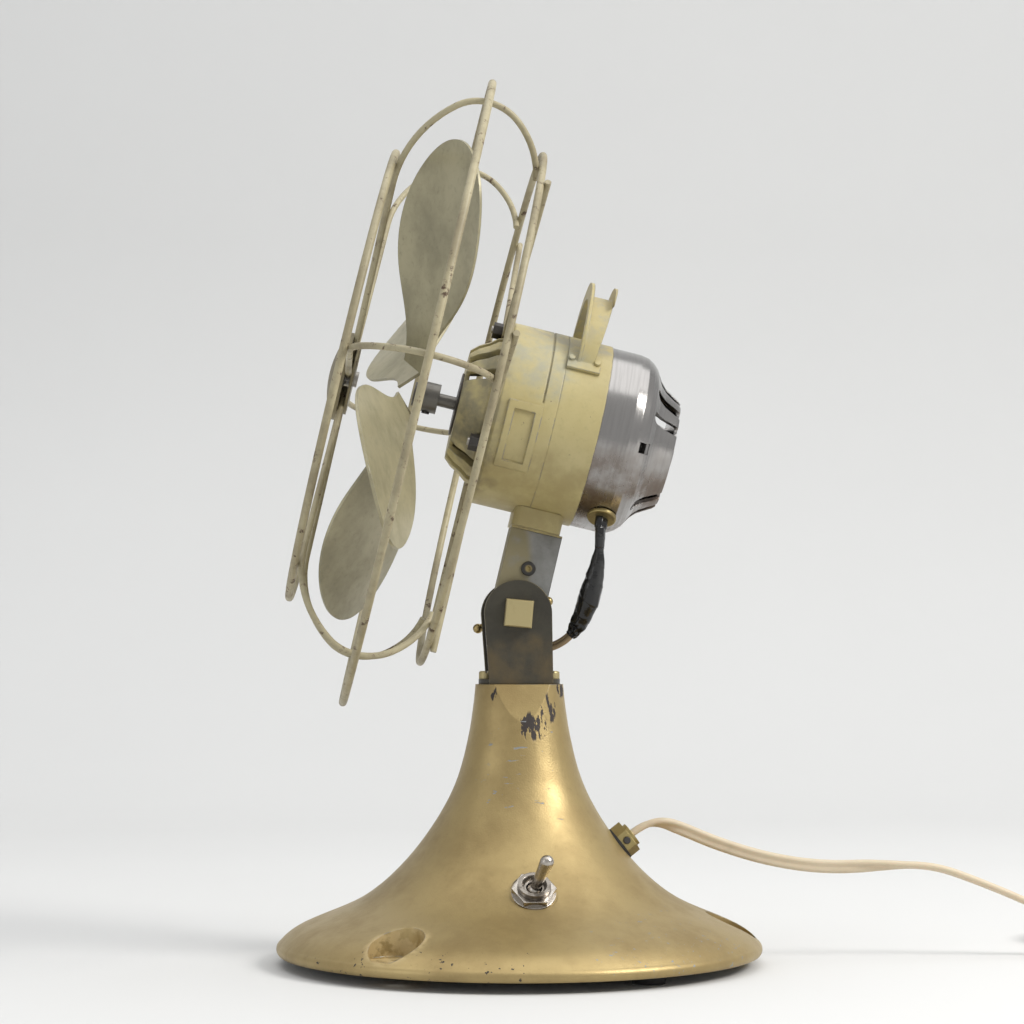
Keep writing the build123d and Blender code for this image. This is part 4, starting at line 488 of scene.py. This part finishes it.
CHIP = (0.028, 0.020, 0.017)
PRIMER = (0.24, 0.255, 0.26)
ROUND = (1, 1, 1)
SCRATCH = (1.0, 1.0, 0.30)
STREAK = (0.30, 1.0, 1.5)
DIAGONAL = (0, 42, 0)
LEVEL = (0, 0, 0)
gold = worn_paint(
    "base_gold", (0.385, 0.290, 0.128), (0.285, 0.208, 0.088), PRIMER, grime=0.45, bare_amount=0.70,
    metal=0.60,
    rough=0.38, grain=1700, grain_depth=0.20, seed=1,
    spots=(
        ((0.0036, -0.0155, 0.0890), 0.0068, (0.9, 0.3, 1.0), (0.565, 0.015, 1.0), CHIP,
         (420, SCRATCH, DIAGONAL)),
        ((0.0096, -0.0130, 0.0950), 0.0062, (1.5, 0.4, 0.8), (0.575, 0.015, 1.0), CHIP,
         (420, SCRATCH, DIAGONAL)),
        ((0.0155, -0.0110, 0.1030), 0.0036, (1.2, 0.3, 0.8), (0.555, 0.015, 1.0), CHIP,
         (420, SCRATCH, LEVEL)),
        ((-0.0105, -0.0120, 0.1010), 0.0030, (1.9, 0.3, 0.8), (0.560, 0.015, 1.0), CHIP,
         (420, SCRATCH, LEVEL)),
        ((0.0270, -0.0740, 0.0230), 0.0060, (0.6, 0.5, 1.0), (0.590, 0.015, 1.0), PRIMER,
         (230, SCRATCH, DIAGONAL)),
        ((0.0560, -0.0700, 0.0080), 0.0400, (0.6, 0.5, 1.4), (0.735, 0.012, 1.0), PRIMER,
         (520, ROUND, LEVEL)),
        ((-0.0350, -0.0820, 0.0055), 0.0500, (0.6, 0.5, 3.4), (0.730, 0.015, 1.0), CHIP, (430, ROUND, LEVEL)),
        ((-0.0010, -0.0300, 0.0720), 0.0260, (1.0, 0.5, 0.7), (0.730, 0.012, 0.9), PRIMER,
         (420, STREAK, LEVEL)),
        ((-0.0480, -0.0640, 0.0140), 0.0150, ROUND, (0.46, 0.12, 0.6), (0.56, 0.43, 0.22),
         (200, ROUND, LEVEL)),
    ),
)
cream = worn_paint(
    "motor_cream", (0.475, 0.405, 0.195), (0.415, 0.345, 0.155), (0.27, 0.27, 0.25), grime=0.6,
    bare_amount=0.70,
    rough=0.36, grain=700, grain_depth=0.08, seed=2, edge_radius=0.0008,
    spots=(
        (tuple(MOTOR + HEAD_REAR * -0.014 + HEAD_UP * 0.022 + NEAR * 0.028), 0.016, (0.7, 1, 0.6),
         (0.42, 0.36, 0.75),
         (0.30, 0.31, 0.26), (110, ROUND, LEVEL)),
        (tuple(MOTOR + HEAD_REAR * -0.036 + HEAD_UP * 0.004 + NEAR * 0.024), 0.018, (0.8, 1, 0.5),
         (0.40, 0.30, 0.8),
         (0.20, 0.185, 0.13), (120, ROUND, LEVEL)),
        (tuple(MOTOR + HEAD_REAR * -0.006 - HEAD_UP * 0.004 + NEAR * 0.035), 0.030, (0.5, 1, 0.9),
         (0.785, 0.02, 0.8),
         (0.06, 0.05, 0.035), (620, ROUND, LEVEL)),
        (tuple(MOTOR + HEAD_REAR * -0.033 - HEAD_UP * 0.022 + NEAR * 0.024), 0.016, (1, 1, 0.6),
         (0.40, 0.30, 0.8),
         (0.15, 0.135, 0.09), (130, ROUND, LEVEL)),
        # painted shade: a darker brown patch on the underside of the motor
        (tuple(MOTOR + HEAD_REAR * 0.0 - HEAD_UP * 0.030 + NEAR * 0.018), 0.030, (0.6, 1, 1),
         (0.36, 0.35, 0.6),
         (0.30, 0.235, 0.10), (90, ROUND, LEVEL)),
        (tuple(MOTOR + HEAD_REAR * 0.002 + HEAD_UP * 0.036), 0.020, (0.6, 0.6, 1), (0.48, 0.16, 0.7),
         (0.30, 0.29, 0.24), (170, ROUND, LEVEL)),
    ),
)
cage_paint = worn_paint(
    "cage_cream", (0.42, 0.37, 0.23), (0.25, 0.21, 0.125), (0.20, 0.18, 0.16), grime=1.0, bare_amount=0.66,
    rough=0.45, grain=900, grain_depth=0.15, rust=(0.125, 0.078, 0.048), rust_amount=0.56, rust_scale=240,
    seed=3,
    edge_radius=0.0002,
)
blade_paint = worn_paint(
    "blade_cream", (0.40, 0.36, 0.225), (0.26, 0.235, 0.145), (0.25, 0.25, 0.23), grime=1.0, bare_amount=0.66,
    metal=0.20, rough=0.33, grain=500, grain_depth=0.06, seed=4, edge_radius=0.0003,
    rust=(0.14, 0.10, 0.065), rust_amount=0.70,
)
fork_paint = worn_paint(
    "fork_dark", (0.062, 0.057, 0.042), (0.034, 0.031, 0.026), (0.20, 0.165, 0.095), grime=0.6,
    bare_amount=0.62,
    metal=0.45, rough=0.36, grain=900, grain_depth=0.10, seed=5,
    spots=(((0.0, -0.011, 0.1120), 0.0150, (0.7, 1, 1), (0.42, 0.30, 0.9), (0.088, 0.064, 0.028),
            (75, ROUND, LEVEL)),),
)
stem_metal = worn_paint(
    "stem_worn", (0.30, 0.30, 0.285), (0.17, 0.165, 0.150), (0.085, 0.080, 0.070), grime=0.8,
    bare_amount=0.56,
    metal=0.65, rough=0.34, grain=800, grain_depth=0.06, seed=6,
    spots=((tuple(Vector((-0.0012, -0.0078, 0.1312)) + HEAD_UP * 0.016 - HEAD_REAR * 0.010), 0.014,
            (1.0, 0.3, 0.35),
            (0.30, 0.30, 0.9), (0.235, 0.20, 0.105), (120, ROUND, LEVEL)),),
)
badge_metal = worn_paint(
    "badge_worn", (0.26, 0.22, 0.125), (0.17, 0.145, 0.085), (0.22, 0.21, 0.19), grime=0.8, bare_amount=0.60,
    metal=0.5, rough=0.38, grain=700, grain_depth=0.08, seed=7, rust=(0.13, 0.080, 0.045), rust_amount=0.60,
)
cap_metal = turned_metal("cap_polished", (0.33, 0.32, 0.31), (0.125, 0.090, 0.066), 0.17)
steel = bare_metal("steel", (0.42, 0.40, 0.37), (0.17, 0.15, 0.13), 0.36, seed=8)
shaft_metal = bare_metal("shaft_steel", (0.145, 0.138, 0.125), (0.055, 0.048, 0.04), 0.34, seed=9)
dark_steel = bare_metal("dark_steel", (0.075, 0.070, 0.066), (0.03, 0.026, 0.022), 0.42, metal=0.8, seed=10)
nickel = bare_metal("nickel", (0.46, 0.43, 0.39), (0.20, 0.165, 0.13), 0.20, tarnish=0.45, scratch=0.04,
                    seed=11)
brass = bare_metal("brass_worn", (0.36, 0.275, 0.125), (0.15, 0.11, 0.06), 0.36, tarnish=0.55, seed=12)
olive_brass = bare_metal("gland_brass", (0.36, 0.29, 0.13), (0.13, 0.10, 0.055), 0.38, tarnish=0.7, seed=13)
bolt_brass = bare_metal("bolt_head", (0.43, 0.36, 0.185), (0.30, 0.24, 0.115), 0.42, tarnish=0.4,
                        metal=0.65, seed=14)
bronze = bare_metal("bronze", (0.44, 0.28, 0.13), (0.24, 0.14, 0.07), 0.45, seed=15)
zinc = bare_metal("zinc_plate", (0.36, 0.36, 0.35), (0.22, 0.20, 0.17), 0.48, seed=16)
aluminium = bare_metal("cast_aluminium", (0.52, 0.52, 0.51), (0.30, 0.29, 0.28), 0.52, seed=17)
rubber = moulded("rubber", (0.022, 0.022, 0.022), (0.09, 0.08, 0.07), 0.7, 800, 0.2, seed=18)
fibre = moulded("red_fibre", (0.19, 0.075, 0.035), (0.08, 0.035, 0.02), 0.65, 1200, 0.15, seed=19)
cord_cover = moulded("cord_ivory", (0.60, 0.50, 0.36), (0.36, 0.27, 0.16), 0.50, 900, 0.10, 0.55, seed=21,
                     Subsurface_Weight=0.06)
plug_cover = moulded("plug_ivory", (0.52, 0.44, 0.30), (0.28, 0.21, 0.13), 0.34, 400, 0.05, 0.5, seed=22)


def tape_cover():
    """Glossy black tape with creases and a little dust."""
    look = Look("black_tape")
    creases = look.noise(260, 5, 0.6, stretch=(1, 1, 2.6), seed=24)
    dust = look.step(look.noise(120, 5, 0.7, seed=25), 0.60, 0.80)
    colour = look.mix(look.math("MULTIPLY", dust, 0.30), (0.006, 0.006, 0.006), (0.035, 0.030, 0.026))
    roughness = look.blend(dust, 0.17, 0.42)
    normal = look.bump(creases, 0.22, 0.0004)
    return look.finish(colour, roughness, 0.0, normal)


def layered(name, light, dark, spacing, direction, metal, rough):
    """Stacked laminations or wound wire: fine bands along a direction."""
    look = Look(name)
    bands = look.math("SINE", look.math("MULTIPLY", look.along(direction, tuple(MOTOR)), math.tau / spacing))
    colour = look.mix(look.step(bands, -0.4, 0.6), dark, light)
    normal = look.bump(bands, 0.6, 0.0002)
    return look.finish(colour, look.blend(look.noise(200), rough, rough + 0.2), metal, normal)


def switch_cover():
    """Moulded switch case below the base's wall, nickel bushing above it."""
    look = Look("switch_case")
    above = look.step(look.along(tuple(SWITCH_OUT), tuple(SWITCH)), -0.0040, -0.0035)
    worn = look.step(look.noise(260, 5, 0.6, seed=26), 0.42, 0.70)
    colour = look.mix(above, (0.045, 0.026, 0.018), look.mix(worn, (0.30, 0.275, 0.245), (0.11, 0.09, 0.075)))
    look.edge(0.0003)
    return look.finish(colour, look.blend(worn, 0.26, 0.45), above, look.round_normal)


def rivet_cover(centre):
    """Blackened rivet head with worn brass at its centre."""
    look = Look("stem_rivet")
    worn = look.near_point((centre.x, 0, centre.z), 0.0017, (1, 0, 1))
    colour = look.mix(worn, (0.020, 0.018, 0.015), (0.42, 0.33, 0.15))
    look.edge(0.0003)
    return look.finish(colour, 0.36, look.math("MULTIPLY", worn, 0.9), look.round_normal)


rivet_corners = [Vector(corner) for corner in nodes["stem_rivet"].bound_box]
rivet_metal = rivet_cover(sum(rivet_corners, Vector()) / len(rivet_corners))
switch_case = switch_cover()
lead_tan = moulded("lead_tan", (0.33, 0.24, 0.135), (0.13, 0.09, 0.055), 0.55, 900, 0.12, 0.8, seed=23)
tape = tape_cover()
laminated = layered("laminations", (0.30, 0.28, 0.26), (0.10, 0.085, 0.07), 0.0006, tuple(HEAD_REAR), 0.9,
                    0.45)
windings = layered("windings", (0.46, 0.17, 0.06), (0.14, 0.045, 0.02), 0.0007, (0.35, 0.55, 0.76), 0.8, 0.35)

LOOKS = {
    gold: ("base_shell",),
    cream: ("front_shell", "rear_shell", "saddle", "handle", "handle_rivets"),
    cage_paint: ("cage_front_ring", "cage_middle_ring", "cage_rear_ring", "cage_hoops", "cage_legs"),
    blade_paint: ("fan_blades",),
    fork_paint: ("neck_fork",),
    stem_metal: ("stem",),
    badge_metal: ("badge", "badge_back_plate"),
    cap_metal: ("rear_cap",),
    steel: ("base_cover_screws", "stem_screws", "through_bolts", "badge_screw"),
    shaft_metal: ("motor_shaft", "fan_hub"),
    dark_steel: ("clamp_nut", "cage_nuts", "hub_set_screw", "cord_gland_screw", "front_bearing_plate"),
    nickel: ("toggle_lever", "toggle_nut", "toggle_washer", "toggle_back_nut"),
    brass: ("toggle_terminals", "plug_pins", "tommy_bar"),
    rivet_metal: ("stem_rivet",),
    olive_brass: ("cord_gland_nipple", "cord_gland_collar", "cord_gland_back_nut", "grommet"),
    bolt_brass: ("pivot_bolt", "fork_screws"),
    bronze: ("front_bearing", "rear_bearing", "thrust_collars"),
    zinc: ("base_cover_plate",),
    aluminium: ("rear_bearing_bridge",),
    rubber: ("base_feet", "cord_gland_gasket"),
    fibre: ("pivot_washers",),
    switch_case: ("toggle_body",),
    plug_cover: ("plug_body",),
    laminated: ("stator_core", "rotor_core"),
    windings: ("field_coils",),
}


def dress(piece, material):
    piece.data.materials.clear()
    piece.data.materials.append(material)


for material, names in LOOKS.items():
    for name in names:
        dress(nodes[name], material)
dress(cord, cord_cover)
dress(lead, lead_tan)
dress(splice, tape)

# ------------------------------------------------------------------ lead and splice: their transforms baked into the mesh
for piece in (lead, splice):
    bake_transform(piece)

# ------------------------------------------------------------------ floor, backdrop and light
stage_look = Look("stage_pale")
tint = stage_look.mix(stage_look.noise(3, 3), (0.70, 0.70, 0.69), (0.66, 0.66, 0.65))
stage_look.finish(tint, 0.8)
sweep = [(-1.5, 0.0), (0.75, 0.0)]
sweep += [(0.75 + 0.5 * math.sin(math.radians(t)), 0.5 - 0.5 * math.cos(math.radians(t))) for t in range(9,
                                                                                                         91, 9)]
sweep += [(1.25, 3.2)]
floor_verts = [(side * 1.7, y, z) for y, z in sweep for side in (-1, 1)]
floor_faces = [(2 * k, 2 * k + 1, 2 * k + 3, 2 * k + 2) for k in range(len(sweep) - 1)]
floor = make_mesh("floor", floor_verts, floor_faces)
dress(floor, stage_look.material)

world = bpy.data.worlds.new("studio")
scene.world = world
world.use_nodes = True
world_tree = world.node_tree
soft = world_tree.nodes["Background"]
soft.inputs["Color"].default_value = (0.80, 0.83, 0.88, 1)
soft.inputs["Strength"].default_value = 0.36
seen = world_tree.nodes.new("ShaderNodeBackground")
seen.inputs["Color"].default_value = (0.62, 0.62, 0.62, 1)
seen.inputs["Strength"].default_value = 1.0
ray = world_tree.nodes.new("ShaderNodeLightPath")
choose = world_tree.nodes.new("ShaderNodeMixShader")
camera_or_glossy = world_tree.nodes.new("ShaderNodeMath")
camera_or_glossy.operation = "MAXIMUM"
world_tree.links.new(ray.outputs["Is Camera Ray"], camera_or_glossy.inputs[0])
world_tree.links.new(ray.outputs["Is Glossy Ray"], camera_or_glossy.inputs[1])
any_seen = world_tree.nodes.new("ShaderNodeMath")
any_seen.operation = "MAXIMUM"
world_tree.links.new(camera_or_glossy.outputs[0], any_seen.inputs[0])
world_tree.links.new(ray.outputs["Is Transmission Ray"], any_seen.inputs[1])
world_tree.links.new(any_seen.outputs[0], choose.inputs[0])
world_tree.links.new(soft.outputs[0], choose.inputs[1])
world_tree.links.new(seen.outputs[0], choose.inputs[2])
world_tree.links.new(choose.outputs[0], world_tree.nodes["World Output"].inputs["Surface"])


def lamp(name, place, target, size, power, tint=(1, 1, 1)):
    light = bpy.data.lights.new(name, "AREA")
    light.size = size
    light.energy = power
    light.color = tint
    holder = bpy.data.objects.new(name, light)
    scene.collection.objects.link(holder)
    holder.location = place
    holder.rotation_mode = "QUATERNION"
    holder.rotation_quaternion = (Vector(target) - Vector(place)).to_track_quat("-Z", "Y")


lamp("key", (1.05, -0.62, 1.00), (0, 0, 0.14), 0.55, 18, (1.0, 0.98, 0.95))
lamp("top", (0.10, 0.10, 2.60), (0, 0, 0), 3.6, 62)
lamp("fill", (-1.2, -0.7, 0.5), (0, 0, 0.15), 0.9, 3.5, (0.95, 0.97, 1.0))
